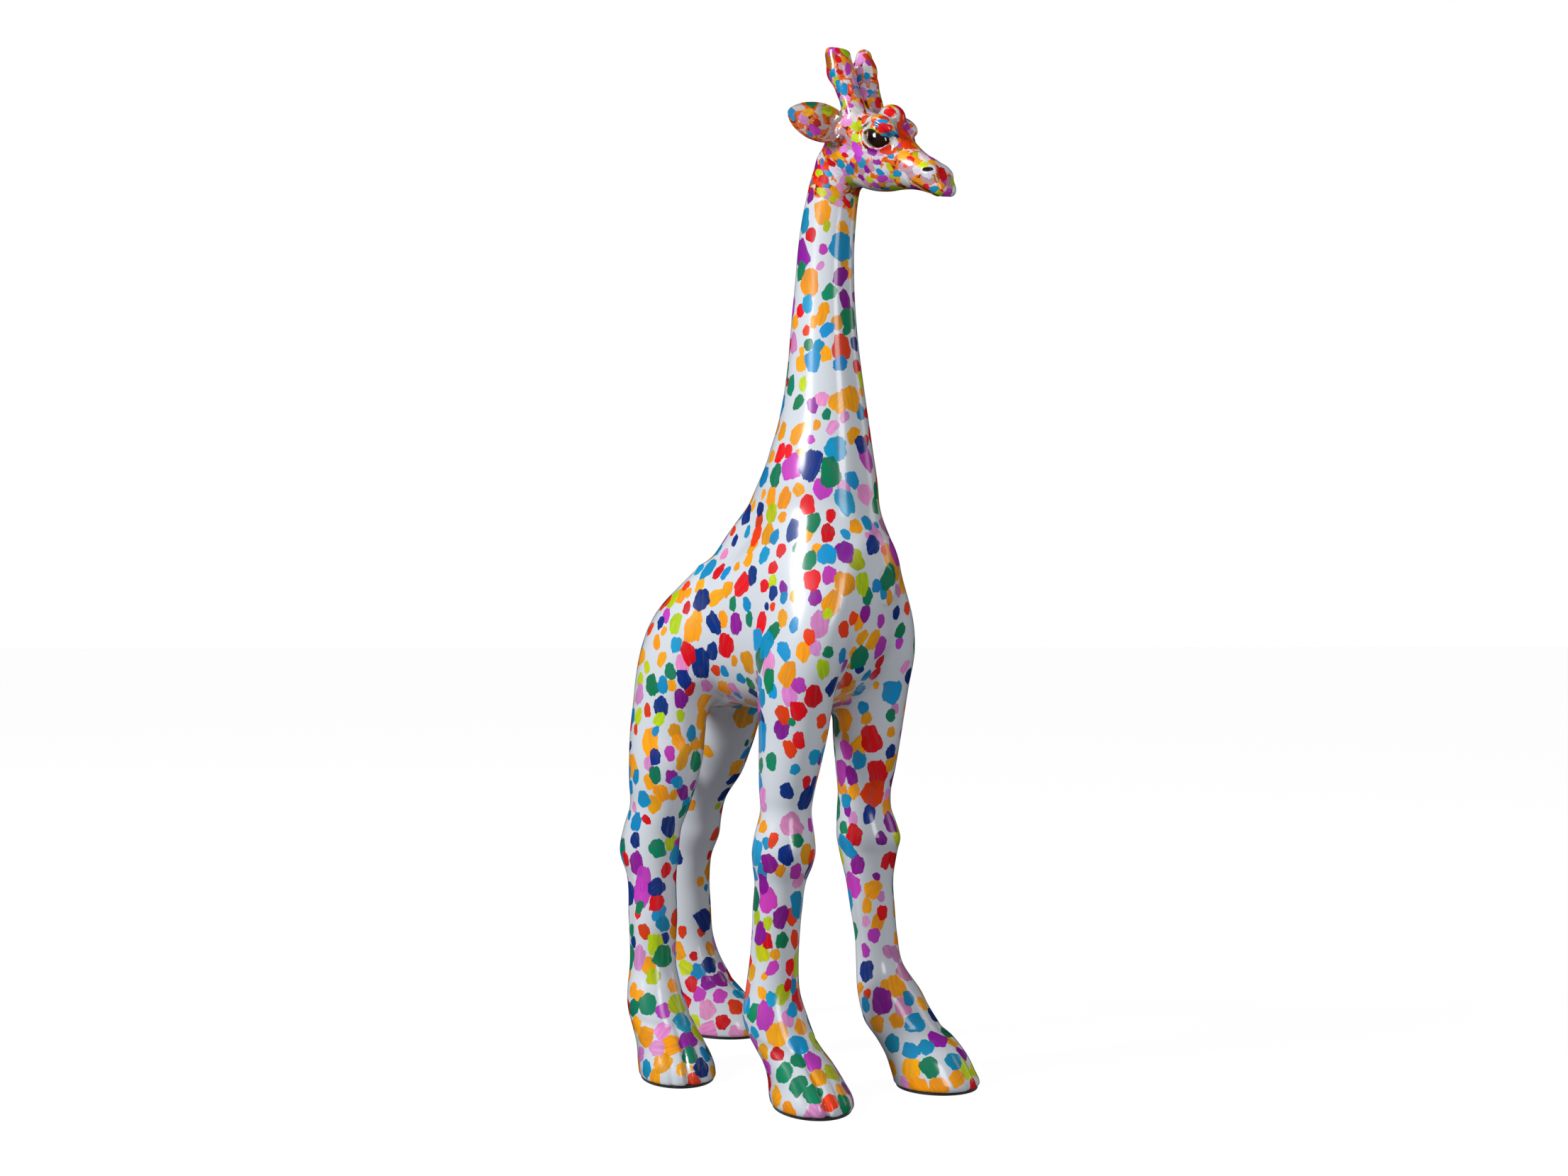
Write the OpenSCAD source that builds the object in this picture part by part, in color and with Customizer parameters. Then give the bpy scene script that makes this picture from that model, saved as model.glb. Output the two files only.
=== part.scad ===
// Walking giraffe figure, cast in resin and joined from separate castings.
// Units are millimetres. +X is the way it faces, +Y its left side, +Z up.
// The origin is on the floor, below the middle of the figure's outline.

/* [Castings] */
// height of the glued seam at the top of each leg
leg_seam = 212; // [208:1:214]
// height of the glued seam at the foot of the neck
neck_seam = 372; // [368:1:376]
// height of the glued seam under the jaw
head_seam = 514; // [511:1:516]
// flat sides round each leg, neck and body section
sides = 28; // [16:4:36]

/* [Steel and pads] */
// radius of the steel rods inside the legs and neck
rod_r = 3; // [2:0.5:4]
// thickness of the felt pad under each hoof
pad_t = 1.5; // [1:0.5:3]
// size of a pad's outline as a share of the hoof's sole
pad_fit = 0.92; // [0.8:0.01:0.98]
// radius of the wire inside the tail
wire_r = 0.9; // [0.5:0.1:1.5]

/* [Body] */
// radius of the pour hole in the belly and of its plug
plug_r = 11; // [8:1:14]
// radius of the plug's outer flange
flange_r = 14; // [12:1:16]

/* [Head] */
// how far the head tips down, in degrees
pitch = 30; // [26:1:34]
// how far the head leans to its right, in degrees
lean = 8; // [0:1:10]
// radius of the glass balls that make the eyes
eye_r = 6; // [5:0.5:6.5]
// radius of the peg at the root of each horn
peg_r = 3; // [2:0.5:4]

/* [Hidden] */

// Each row of a leg, the neck or the withers is a level section:
// [height, centre x, centre y, half length fore and aft, half width, toe-out angle].
front_right = [
  [327, 52, -20, 7, 5, 0],
  [319, 53, -21, 14, 8, 0],
  [309, 54, -22, 20, 11, 0],
  [294, 55, -24.5, 26, 15, 0],
  [276, 54, -28, 28.5, 18, 0],
  [257, 52, -31, 28, 19, 0],
  [234, 48.5, -33, 24.5, 18.5, 0],
  [208, 46, -33, 21, 17.5, 0],
  [192, 44.5, -34, 18.7, 16.5, 0],
  [175, 43, -35, 16, 15, 0],
  [167, 42.5, -35, 15, 14.3, 0],
  [150, 42.5, -36.5, 18, 16.5, 0],
  [142, 42.5, -37, 19, 17, 0],
  [134, 41.5, -37, 17.8, 16, 0],
  [126, 40, -37, 15.3, 14.5, 0],
  [109, 38.5, -38, 14.2, 14, 0],
  [93, 38, -39, 13.8, 13.6, 0],
  [77, 37.5, -40, 14.2, 14, 0],
  [61, 37.5, -41, 16, 15.5, -10],
  [49, 39, -41, 19, 18, -15],
  [39, 42.5, -40, 20.5, 18.5, -20],
  [31, 48, -39.3, 21.5, 18.5, -25],
  [23, 54.8, -38.2, 25, 19.5, -30],
  [14, 60.8, -38, 28.5, 21, -30],
  [5, 65, -38.3, 30.5, 23, -30],
  [0, 65.8, -38.3, 30, 22.5, -30]
];

front_left = [
  [322, 52, 20, 6, 4, 0],
  [314, 53, 20.5, 12, 7, 0],
  [303, 54, 22, 18, 10, 0],
  [290, 55, 24, 24, 14, 0],
  [276, 55, 27, 27.5, 16.8, 0],
  [257, 53, 30.3, 28, 18.3, 0],
  [234, 48.5, 33, 25, 18.5, 0],
  [204, 45.7, 33, 21.5, 18, 0],
  [187, 44, 34, 18.7, 17, 0],
  [169, 42, 35, 16, 15.5, 0],
  [161, 42, 35, 16.5, 15.8, 0],
  [152, 43, 36, 18.5, 17, 0],
  [144, 44.5, 36, 20, 17.5, 0],
  [135, 43.5, 37, 18, 16.5, 0],
  [118, 44.5, 37, 14.3, 14, 0],
  [101, 46, 38, 13.4, 13.2, 0],
  [84, 48, 39, 12.8, 12.6, 0],
  [67, 50, 40, 14, 14, 5],
  [51, 57, 41, 19, 19, 10],
  [42, 61.5, 41, 21, 19, 15],
  [34, 67, 41.2, 22.5, 19.6, 20],
  [26, 76, 42.5, 23.8, 20.3, 20],
  [18, 83.3, 43, 24.6, 21.3, 20],
  [9, 88.1, 43.6, 25.2, 22.3, 20],
  [4, 90.1, 44.2, 25.6, 22.8, 20],
  [0, 90.6, 44.2, 25.1, 22.3, 20]
];

rear_right = [
  [306, -35, -20, 6, 5, 0],
  [299, -37, -22, 12, 8, 0],
  [289, -41, -24, 18.5, 12, 0],
  [272, -45, -27, 28, 17, 0],
  [255, -49, -30, 31, 18.5, 0],
  [240, -52.5, -31.5, 30, 19, 0],
  [225, -56, -33, 26.5, 19, 0],
  [206, -58, -34, 26, 19.5, 0],
  [190, -57.5, -36, 25.5, 19, 0],
  [175, -59, -37, 23, 18, 0],
  [160, -61, -38, 20, 16, 0],
  [147, -65, -40, 19.5, 15.5, 0],
  [131, -67, -41, 20, 15.5, 0],
  [119, -64, -42, 16.5, 14, 0],
  [93, -60.5, -44, 15.2, 14.2, 0],
  [61, -58, -46, 14.8, 14, 0],
  [52, -56, -47, 17, 15.5, -10],
  [40, -52, -48, 19, 17.5, -15],
  [28, -46, -47.5, 21, 18.8, -20],
  [19, -41.4, -46.6, 24.5, 20.3, -25],
  [8, -37.4, -46.4, 28.5, 22.5, -30],
  [0, -35.9, -46.4, 29, 22.5, -30]
];

rear_left = [
  [306, -35, 20, 6, 5, 0],
  [299, -37, 22, 12, 8, 0],
  [289, -41, 24, 18.5, 12, 0],
  [272, -46, 27, 28, 17, 0],
  [255, -53, 30, 31, 18.5, 0],
  [240, -61, 31.5, 30, 19, 0],
  [225, -69, 33, 26.5, 19, 0],
  [191, -82, 34, 24, 18, 0],
  [173, -93, 38, 22, 17, 0],
  [155, -106, 40, 18.5, 16, 0],
  [141, -113, 42, 19.5, 16, 0],
  [131, -116, 43, 20, 16, 0],
  [116, -120, 44, 16.2, 14, 0],
  [100, -121.3, 45, 14.2, 13.6, 0],
  [80, -120.5, 46, 13.8, 13.2, 0],
  [60, -119.5, 47, 14.2, 13.4, 10],
  [44, -116.3, 48, 17.2, 16, 15],
  [30, -109, 49, 21, 18.5, 20],
  [20, -101, 50, 25, 19.5, 20],
  [9, -95, 50, 28, 21, 20],
  [0, -93, 50, 28.5, 21.5, 20]
];

neck_rows = [
  [556, 63, 0, 11, 9, 0],
  [551, 59, 0, 15.7, 12.3, 0],
  [539, 52.5, 0, 16.5, 12.9, 0],
  [524, 47.3, 0, 16.8, 13.2, 0],
  [507, 43.8, 0, 17.6, 13.8, 0],
  [491, 41.9, 0, 18.2, 14.2, 0],
  [474, 41, 0, 19, 14.9, 0],
  [457, 40.4, 0, 20.4, 15.9, 0],
  [441, 40.4, 0, 21.8, 17, 0],
  [424, 40.7, 0, 23.7, 18.5, 0],
  [407, 40.6, 0, 26.4, 20.3, 0],
  [390, 39.8, 0, 29.8, 22.6, 0],
  [374, 38, 0, 33.9, 25.4, 0],
  [357, 36.7, 0, 37.6, 28.4, 0],
  [340, 37, 0, 38.5, 30.1, 0],
  [325, 36, 0, 40.7, 31.8, 0],
  [305, 37, 0, 42.9, 33.5, 0],
  [285, 39, 0, 41.8, 32.7, 0]
];

withers_rows = [
  [371, 26, 0, 6, 7, 0],
  [364, 20, 0, 13.5, 13, 0],
  [355, 14, 0, 19, 18, 0],
  [342, 7.5, 0, 23, 21, 0],
  [329, -3.5, 0, 25, 22.5, 0],
  [316, -14.5, 0, 25, 24, 0],
  [303, -21.5, 0, 28.5, 25.5, 0],
  [290, -27.5, 0, 31.5, 26, 0],
  [265, -33, 0, 36, 26, 0]
];

// Each row of the body is an upright section across it:
// [distance forward, centre height, half width, half height].
body_rows = [
  [-92, 254, 10, 10],
  [-85, 255, 25, 26],
  [-71, 257, 34, 35],
  [-51, 260, 39, 41],
  [-26, 268, 41, 46],
  [9, 275, 42, 55],
  [39, 279, 42, 58],
  [61, 284, 36.5, 51],
  [75, 288, 28, 40],
  [84, 293, 17.5, 25],
  [88, 296, 7, 10]
];

// The hollow left inside the body by slush casting, rows as for the body.
hollow_rows = [
  [-74, 262, 6, 8],
  [-66, 263, 16, 20],
  [-46, 266, 19, 28],
  [-20, 272, 24, 36],
  [8, 277, 24, 42],
  [34, 282, 20, 42],
  [52, 288, 18, 34],
  [66, 294, 12, 22],
  [73, 297, 5, 9]
];

// The head's rows lie along its own axis: [along, centre, half width, half height].
head_rows = [
  [-34, 2, 5, 5],
  [-28, 1, 12, 12],
  [-18, -1, 16, 17],
  [-6, -2, 16.5, 20.5],
  [6, -2, 15.5, 20.5],
  [18, -1.3, 13.2, 18.1],
  [26, -0.9, 11.2, 14.6],
  [38, 0.3, 9.6, 10.6],
  [46.5, 1.2, 9.8, 9.2],
  [54, 0.6, 9.6, 7.4],
  [59.5, -0.4, 8, 5.4],
  [64, -2.2, 5, 2.4],
  [65.2, -2.5, 3, 1.4]
];

head_at = [79, 0, 548];

// Rows of an ear: [share of its length, half width, depth of back, depth of cup].
ear_rows = [
  [-0.3, 5, 4.5, -4.5],
  [0, 6.2, 5, -4.5],
  [0.16, 8.2, 5.6, -3],
  [0.3, 10.4, 5.8, 0.5],
  [0.45, 11.5, 5.4, 2],
  [0.6, 11.3, 4.6, 1.8],
  [0.75, 9.5, 3.6, 1.2],
  [0.88, 6.4, 2.4, 0.6],
  [0.96, 3.2, 1.2, 0.2],
  [1, 1, 0.4, 0]
];
ear_seam = 0.16;

// Steel rods: [lower end, upper end] of each axis.
rod_front_right = [[45, -34.5, 140], [45, -34.5, 256]];
rod_front_left = [[45, 34.5, 140], [45, 34.5, 256]];
rod_rear_right = [[-58, -35, 150], [-58, -35, 256]];
rod_rear_left = [[-74, 33, 184], [-74, 33, 250]];
rod_neck = [[39.5, 0, 340], [47.5, 0, 536]];

// Horns: [root, tip]. The seat is the flat glued face above the root.
horn_r_line = [[71.8, -7.6, 570], [61, -11.8, 600]];
horn_l_line = [[71, 7.6, 576], [60.6, 13.2, 607]];

// Tail: [height, distance forward, half thickness], hanging from the rump.
tail_rows = [
  [272, -91, 5.5],
  [266, -94, 5],
  [250, -97.5, 4.3],
  [230, -99, 3.8],
  [205, -99.5, 3.5],
  [185, -99.5, 3.6],
  [175, -99.5, 5],
  [160, -99.5, 7],
  [142, -99.5, 7.2],
  [128, -99.5, 5],
  [120, -99.5, 2]
];
tail_face = -95;

// point on a squared oval at angle t
function oval(t, a, b, n) = [
  a * sign(cos(t)) * pow(abs(cos(t)), 2 / n),
  b * sign(sin(t)) * pow(abs(sin(t)), 2 / n)
];

// vector of length one
function unit(v) = v / norm(v);

// row of a table at key k, between its two neighbours
function row_at(rows, k) =
  let(
    i = [for (j = [0:len(rows) - 2])
      if ((rows[j][0] - k) * (rows[j + 1][0] - k) <= 0) j][0],
    s = (k - rows[i][0]) / (rows[i + 1][0] - rows[i][0])
  )
  rows[i] * (1 - s) + rows[i + 1] * s;

// the rows of a level table from height lo up to height hi
function span(rows, lo, hi) = concat(
  [row_at(rows, lo)],
  [for (j = [len(rows) - 1:-1:0])
    if (rows[j][0] > lo + 0.01 && rows[j][0] < hi - 0.01) rows[j]],
  [row_at(rows, hi)]
);

// the ring of points of one level row
function level_ring(r) = [for (i = [0:sides - 1])
  let(
    p = oval(360 * i / sides, r[3], r[4], 2.1),
    c = cos(r[5]),
    s = sin(r[5])
  )
  [r[1] + p[0] * c - p[1] * s, r[2] + p[0] * s + p[1] * c, r[0]]];

// the ring of points of one upright row
function upright_ring(r) = [for (i = [0:sides - 1])
  let(p = oval(360 * i / sides, r[2], r[3], 2.3))
  [r[0], p[0], r[1] + p[1]]];

// solid through a list of rings, closed by its two end rings
module skin(rings) {
  m = len(rings[0]);
  n = len(rings);
  polyhedron(
    points = [for (g = rings) each g],
    faces = concat(
      [[for (i = [0:m - 1]) i]],
      [for (k = [0:n - 2], i = [0:m - 1])
        let(j = (i + 1) % m)
        [k * m + i, (k + 1) * m + j, k * m + j]],
      [for (k = [0:n - 2], i = [0:m - 1])
        let(j = (i + 1) % m)
        [k * m + i, (k + 1) * m + i, (k + 1) * m + j]],
      [[for (i = [m - 1:-1:0]) (n - 1) * m + i]]
    ),
    convexity = 8
  );
}

// solid through level rows, low to high
module level_loft(rows) {
  skin([for (r = rows) level_ring(r)]);
}

// solid through upright rows, back to front
module upright_loft(rows) {
  skin([for (r = rows) upright_ring(r)]);
}

// round bar between two points
module bar(line, r) {
  d = line[1] - line[0];
  translate(line[0])
    rotate([0, acos(d[2] / norm(d)), atan2(d[1], d[0])])
      cylinder(r = r, h = norm(d), $fn = 48);
}

// places its children at a line's start with +Z along the line
module along(line) {
  d = line[1] - line[0];
  translate(line[0])
    rotate([0, acos(d[2] / norm(d)), atan2(d[1], d[0])])
      children();
}

// places its children in the head's own frame
module in_head() {
  translate(head_at)
    rotate([lean, pitch, 0])
      children();
}

// rounded lump with three half sizes
module lump(at, half) {
  translate(at)
    scale(half)
      sphere(r = 1, $fn = 16);
}

// one leg casting: seam face on top, sole face below, blind hole for its rod
module leg(rows, rod) {
  difference() {
    level_loft(span(rows, pad_t, leg_seam));
    bar(rod, rod_r);
  }
}

// felt pad cut to the sole's outline
module pad(rows) {
  r = row_at(rows, pad_t);
  linear_extrude(height = pad_t)
    translate([r[1], r[2]])
      rotate(r[5])
        polygon([for (i = [0:sides - 1])
          pad_fit * oval(360 * i / sides, r[3], r[4], 2.1)]);
}

// hollow body with the tops of the legs and the root of the neck
module torso_shell() {
  color([0.88, 0.90, 0.94])
    difference() {
      union() {
        upright_loft(body_rows);
        level_loft(span(neck_rows, 285, neck_seam));
        level_loft(span(withers_rows, 265, 371));
        level_loft(span(front_right, leg_seam, 327));
        level_loft(span(front_left, leg_seam, 322));
        level_loft(span(rear_right, leg_seam, 306));
        level_loft(span(rear_left, leg_seam, 306));
      }
      upright_loft(hollow_rows);
      bar(rod_front_right, rod_r);
      bar(rod_front_left, rod_r);
      bar(rod_rear_right, rod_r);
      bar(rod_rear_left, rod_r);
      bar(rod_neck, rod_r);
      translate([-8, 0, 200])
        cylinder(r = plug_r, h = 60, $fn = 64);
      translate([-8, 0, 200])
        cylinder(r = flange_r, h = 25, $fn = 64);
      translate([-120, -30, 240])
        cube([120 + tail_face + 6, 60, 60]);
    }
}

// turned plug that closes the pour hole
module belly_plug() {
  color([0.80, 0.82, 0.86])
    union() {
      translate([-8, 0, 225])
        cylinder(r = plug_r, h = 12, $fn = 64);
      translate([-8, 0, 222.5])
        cylinder(r = flange_r, h = 2.5, $fn = 64);
    }
}

// solid neck casting with a through hole for its rod
module neck() {
  color([0.88, 0.90, 0.94])
    difference() {
      level_loft(span(neck_rows, neck_seam, head_seam));
      bar(rod_neck, rod_r);
    }
}

module neck_rod() {
  color([0.60, 0.60, 0.62])
    bar(rod_neck, rod_r);
}

// flat-topped boss that a horn is glued to
module horn_boss(line) {
  along(line)
    translate([0, 0, -8])
      cylinder(r1 = 8.5, r2 = 6.6, h = 12, $fn = 48);
}

// one ring of an ear: a crescent that is hollow towards the front of the leaf
function ear_ring(r, line, side) =
  let(
    ax = unit(line[1] - line[0]),
    f = [0.55, side * 0.75, 0.2],
    n = unit(f - ax * (f * ax)),
    w = cross(ax, n),
    at = line[0] + (line[1] - line[0]) * r[0]
  )
  [for (i = [0:19])
    let(t = 18 * i)
    at + w * r[1] * cos(t) + n * sin(t) * (i < 10 ? -r[2] : r[3])];

// part of an ear between two shares of its length
module ear_part(side, lo, hi) {
  line = [[72.5, side * 13, 557 + side * 2], [40.5, side * 31, 572.5 + side * 2]];
  rows = concat(
    [row_at(ear_rows, lo)],
    [for (r = ear_rows) if (r[0] > lo + 0.001 && r[0] < hi - 0.001) r],
    [row_at(ear_rows, hi)]
  );
  skin([for (r = rows) ear_ring(r, line, side)]);
}

// head casting with the top of the neck, brow ridges, cheeks and nostrils
module head() {
  color([0.93, 0.62, 0.30])
    difference() {
      union() {
        level_loft(span(neck_rows, head_seam, 556));
        in_head()
          upright_loft(head_rows);
        in_head()
          for (s = [-1, 1]) {
            lump([9.5, s * 9.6, 15.6], [10.5, 6.3, 6]);
            lump([14, s * 7, -9], [15, 6.5, 8]);
            lump([51.5, s * 6, 4.6], [5.5, 3.6, 3.6]);
          }
        in_head()
          lump([7, 0, 20.4], [8, 7.4, 7]);
        horn_boss(horn_r_line);
        horn_boss(horn_l_line);
        ear_part(-1, -0.3, ear_seam);
        ear_part(1, -0.3, ear_seam);
      }
      in_head()
        for (s = [-1, 1]) {
          translate([9.6, s * 10.2, 8.8])
            sphere(r = eye_r, $fn = 48);
          translate([56, s * 7.4, 5.2])
            sphere(r = 1.6, $fn = 16);
        }
      along(horn_r_line)
        translate([0, 0, -4])
          cylinder(r = peg_r, h = 9, $fn = 48);
      along(horn_l_line)
        translate([0, 0, -4])
          cylinder(r = peg_r, h = 9, $fn = 48);
      bar(rod_neck, rod_r);
    }
}

// glass ball seated in the head
module eye(side) {
  in_head()
    translate([9.6, side * 10.2, 8.8])
      sphere(r = eye_r, $fn = 48);
}

module eye_right() {
  color([0.06, 0.03, 0.02])
    eye(-1);
}

module eye_left() {
  color([0.06, 0.03, 0.02])
    eye(1);
}

module ear_right() {
  color([0.75, 0.30, 0.62])
    ear_part(-1, ear_seam, 1);
}

module ear_left() {
  color([0.75, 0.30, 0.62])
    ear_part(1, ear_seam, 1);
}

// horn turned about its own axis: peg, waist, swollen tip and domed end
module horn(line, tip_r) {
  h = norm(line[1] - line[0]);
  along(line)
    rotate_extrude($fn = 48)
      polygon(concat(
        [[0, -4], [peg_r, -4], [peg_r, 4], [6.6, 4]],
        [[6, h * 0.4], [7.2, h * 0.7]],
        [for (t = [0:15:75]) [tip_r * cos(t), h + tip_r * sin(t)]],
        [[0, h + tip_r]]
      ));
}

module horn_right() {
  color([0.90, 0.35, 0.20])
    horn(horn_r_line, 6.2);
}

module horn_left() {
  color([0.90, 0.35, 0.20])
    horn(horn_l_line, 4.9);
}

module leg_front_right() {
  color([0.88, 0.90, 0.94])
    leg(front_right, rod_front_right);
}

module leg_front_left() {
  color([0.88, 0.90, 0.94])
    leg(front_left, rod_front_left);
}

module leg_rear_right() {
  color([0.88, 0.90, 0.94])
    leg(rear_right, rod_rear_right);
}

module leg_rear_left() {
  color([0.88, 0.90, 0.94])
    leg(rear_left, rod_rear_left);
}

module leg_rod_front_right() {
  color([0.60, 0.60, 0.62])
    bar(rod_front_right, rod_r);
}

module leg_rod_front_left() {
  color([0.60, 0.60, 0.62])
    bar(rod_front_left, rod_r);
}

module leg_rod_rear_right() {
  color([0.60, 0.60, 0.62])
    bar(rod_rear_right, rod_r);
}

module leg_rod_rear_left() {
  color([0.60, 0.60, 0.62])
    bar(rod_rear_left, rod_r);
}

// tail casting, glued against the flat at the back of the rump
module tail() {
  color([0.88, 0.90, 0.94])
    difference() {
      level_loft([for (i = [len(tail_rows) - 1:-1:0])
        let(r = tail_rows[i])
        [r[0], r[1], 0, r[2], r[2], 0]]);
      translate([tail_face + 6, -20, 200])
        cube([40, 40, 90]);
      bar([[-99.5, 0, 150], [-99.5, 0, 205]], wire_r);
    }
}

module tail_wire() {
  color([0.60, 0.60, 0.62])
    bar([[-99.5, 0, 150], [-99.5, 0, 205]], wire_r);
}

module pad_front_right() {
  color([0.15, 0.15, 0.16])
    pad(front_right);
}

module pad_front_left() {
  color([0.15, 0.15, 0.16])
    pad(front_left);
}

module pad_rear_right() {
  color([0.15, 0.15, 0.16])
    pad(rear_right);
}

module pad_rear_left() {
  color([0.15, 0.15, 0.16])
    pad(rear_left);
}

torso_shell();
belly_plug();
neck();
neck_rod();
head();
eye_right();
eye_left();
ear_right();
ear_left();
horn_right();
horn_left();
leg_front_right();
leg_front_left();
leg_rear_right();
leg_rear_left();
leg_rod_front_right();
leg_rod_front_left();
leg_rod_rear_right();
leg_rod_rear_left();
tail();
tail_wire();
pad_front_right();
pad_front_left();
pad_rear_right();
pad_rear_left();
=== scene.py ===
import math

import bmesh
import bpy
import numpy as np
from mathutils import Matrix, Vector


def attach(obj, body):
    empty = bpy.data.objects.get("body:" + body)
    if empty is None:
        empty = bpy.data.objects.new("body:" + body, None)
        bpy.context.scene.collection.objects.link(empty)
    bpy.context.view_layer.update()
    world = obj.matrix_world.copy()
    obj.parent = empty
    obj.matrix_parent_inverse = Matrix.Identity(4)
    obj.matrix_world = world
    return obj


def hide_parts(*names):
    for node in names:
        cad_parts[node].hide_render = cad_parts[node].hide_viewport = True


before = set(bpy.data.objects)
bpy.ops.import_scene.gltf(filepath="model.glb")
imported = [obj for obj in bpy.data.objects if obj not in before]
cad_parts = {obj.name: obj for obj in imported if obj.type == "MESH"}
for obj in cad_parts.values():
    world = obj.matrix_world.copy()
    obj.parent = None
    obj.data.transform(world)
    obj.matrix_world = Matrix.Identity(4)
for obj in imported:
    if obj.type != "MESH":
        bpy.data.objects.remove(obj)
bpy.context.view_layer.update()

# ---------------------------------------------------------------------------
# Torso: hollow resin casting that carries the root of the neck and the tops of
# the four legs. Smoothly modelled: deep chest, sloping back, tucked belly,
# hollow flanks in front of the thighs.
# ---------------------------------------------------------------------------
LEG_SEAM = 212.0
NECK_SEAM = 372.0

# upright sections: [forward, centre height, half width, half height]
BARREL = [
    (-92, 254, 10, 10), (-85, 255, 25, 26), (-71, 257, 34, 35),
    (-51, 260, 39, 41), (-26, 268, 41, 46), (9, 275, 42, 55),
    (39, 279, 42, 58), (61, 284, 36.5, 51), (75, 288, 28, 40),
    (84, 293, 17.5, 25), (88, 296, 7, 10),
]

# level sections: [height, centre x, centre y, half length, half width, toe-out]
WITHERS = [
    (371, 26, 0, 6, 7, 0), (364, 20, 0, 13.5, 13, 0), (355, 14, 0, 19, 18, 0),
    (342, 7.5, 0, 23, 21, 0), (329, -3.5, 0, 25, 22.5, 0),
    (316, -14.5, 0, 25, 24, 0), (303, -21.5, 0, 28.5, 25.5, 0),
    (290, -27.5, 0, 31.5, 26, 0), (265, -33, 0, 36, 26, 0),
]
NECK_ROOT = [
    (407, 40.6, 0, 26.4, 20.3, 0), (390, 39.8, 0, 29.8, 22.6, 0),
    (374, 38, 0, 33.9, 25.4, 0), (357, 36.7, 0, 37.6, 28.4, 0),
    (340, 37, 0, 38.5, 30.1, 0), (325, 36, 0, 40.7, 31.8, 0),
    (305, 37, 0, 42.9, 33.5, 0), (285, 39, 0, 41.8, 32.7, 0),
]
LEG_ROOTS = {
    "front_right": [
        (327, 52, -20, 7, 5, 0), (319, 53, -21, 14, 8, 0),
        (309, 54, -22, 20, 11, 0), (294, 55, -24.5, 26, 15, 0),
        (276, 54, -28, 28.5, 18, 0), (257, 52, -31, 28, 19, 0),
        (234, 48.5, -33, 24.5, 18.5, 0), (208, 46, -33, 21, 17.5, 0),
        (192, 44.5, -34, 18.7, 16.5, 0),
    ],
    "front_left": [
        (322, 52, 20, 6, 4, 0), (314, 53, 20.5, 12, 7, 0),
        (303, 54, 22, 18, 10, 0), (290, 55, 24, 24, 14, 0),
        (276, 55, 27, 27.5, 16.8, 0), (257, 53, 30.3, 28, 18.3, 0),
        (234, 48.5, 33, 25, 18.5, 0), (204, 45.7, 33, 21.5, 18, 0),
        (187, 44, 34, 18.7, 17, 0),
    ],
    "rear_right": [
        (306, -35, -20, 6, 5, 0), (299, -37, -22, 12, 8, 0),
        (289, -41, -24, 18.5, 12, 0), (272, -45, -27, 28, 17, 0),
        (255, -49, -30, 31, 18.5, 0), (240, -52.5, -31.5, 30, 19, 0),
        (225, -56, -33, 26.5, 19, 0), (206, -58, -34, 26, 19.5, 0),
        (190, -57.5, -36, 25.5, 19, 0),
    ],
    "rear_left": [
        (306, -35, 20, 6, 5, 0), (299, -37, 22, 12, 8, 0),
        (289, -41, 24, 18.5, 12, 0), (272, -46, 27, 28, 17, 0),
        (255, -53, 30, 31, 18.5, 0), (240, -61, 31.5, 30, 19, 0),
        (225, -69, 33, 26.5, 19, 0), (191, -82, 34, 24, 18, 0),
        (173, -93, 38, 22, 17, 0),
    ],
}


def spline(t, ts, vs):
    """Cubic through the points (ts, vs): at each inner point the slope is the mean
    of the two neighbouring chords, each weighted by the other's length."""
    d = np.diff(vs) / np.diff(ts)
    h = np.diff(ts)
    m = np.concatenate([[d[0]], (d[:-1] * h[1:] + d[1:] * h[:-1]) / (h[:-1] + h[1:]), [d[-1]]])
    i = np.clip(np.searchsorted(ts, t, side="right") - 1, 0, len(ts) - 2)
    s = (t - ts[i]) / h[i]
    a, b = s * s, s * s * s
    return (
        (2 * b - 3 * a + 1) * vs[i] + (b - 2 * a + s) * h[i] * m[i]
        + (3 * a - 2 * b) * vs[i + 1] + (b - a) * h[i] * m[i + 1]
    )


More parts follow.
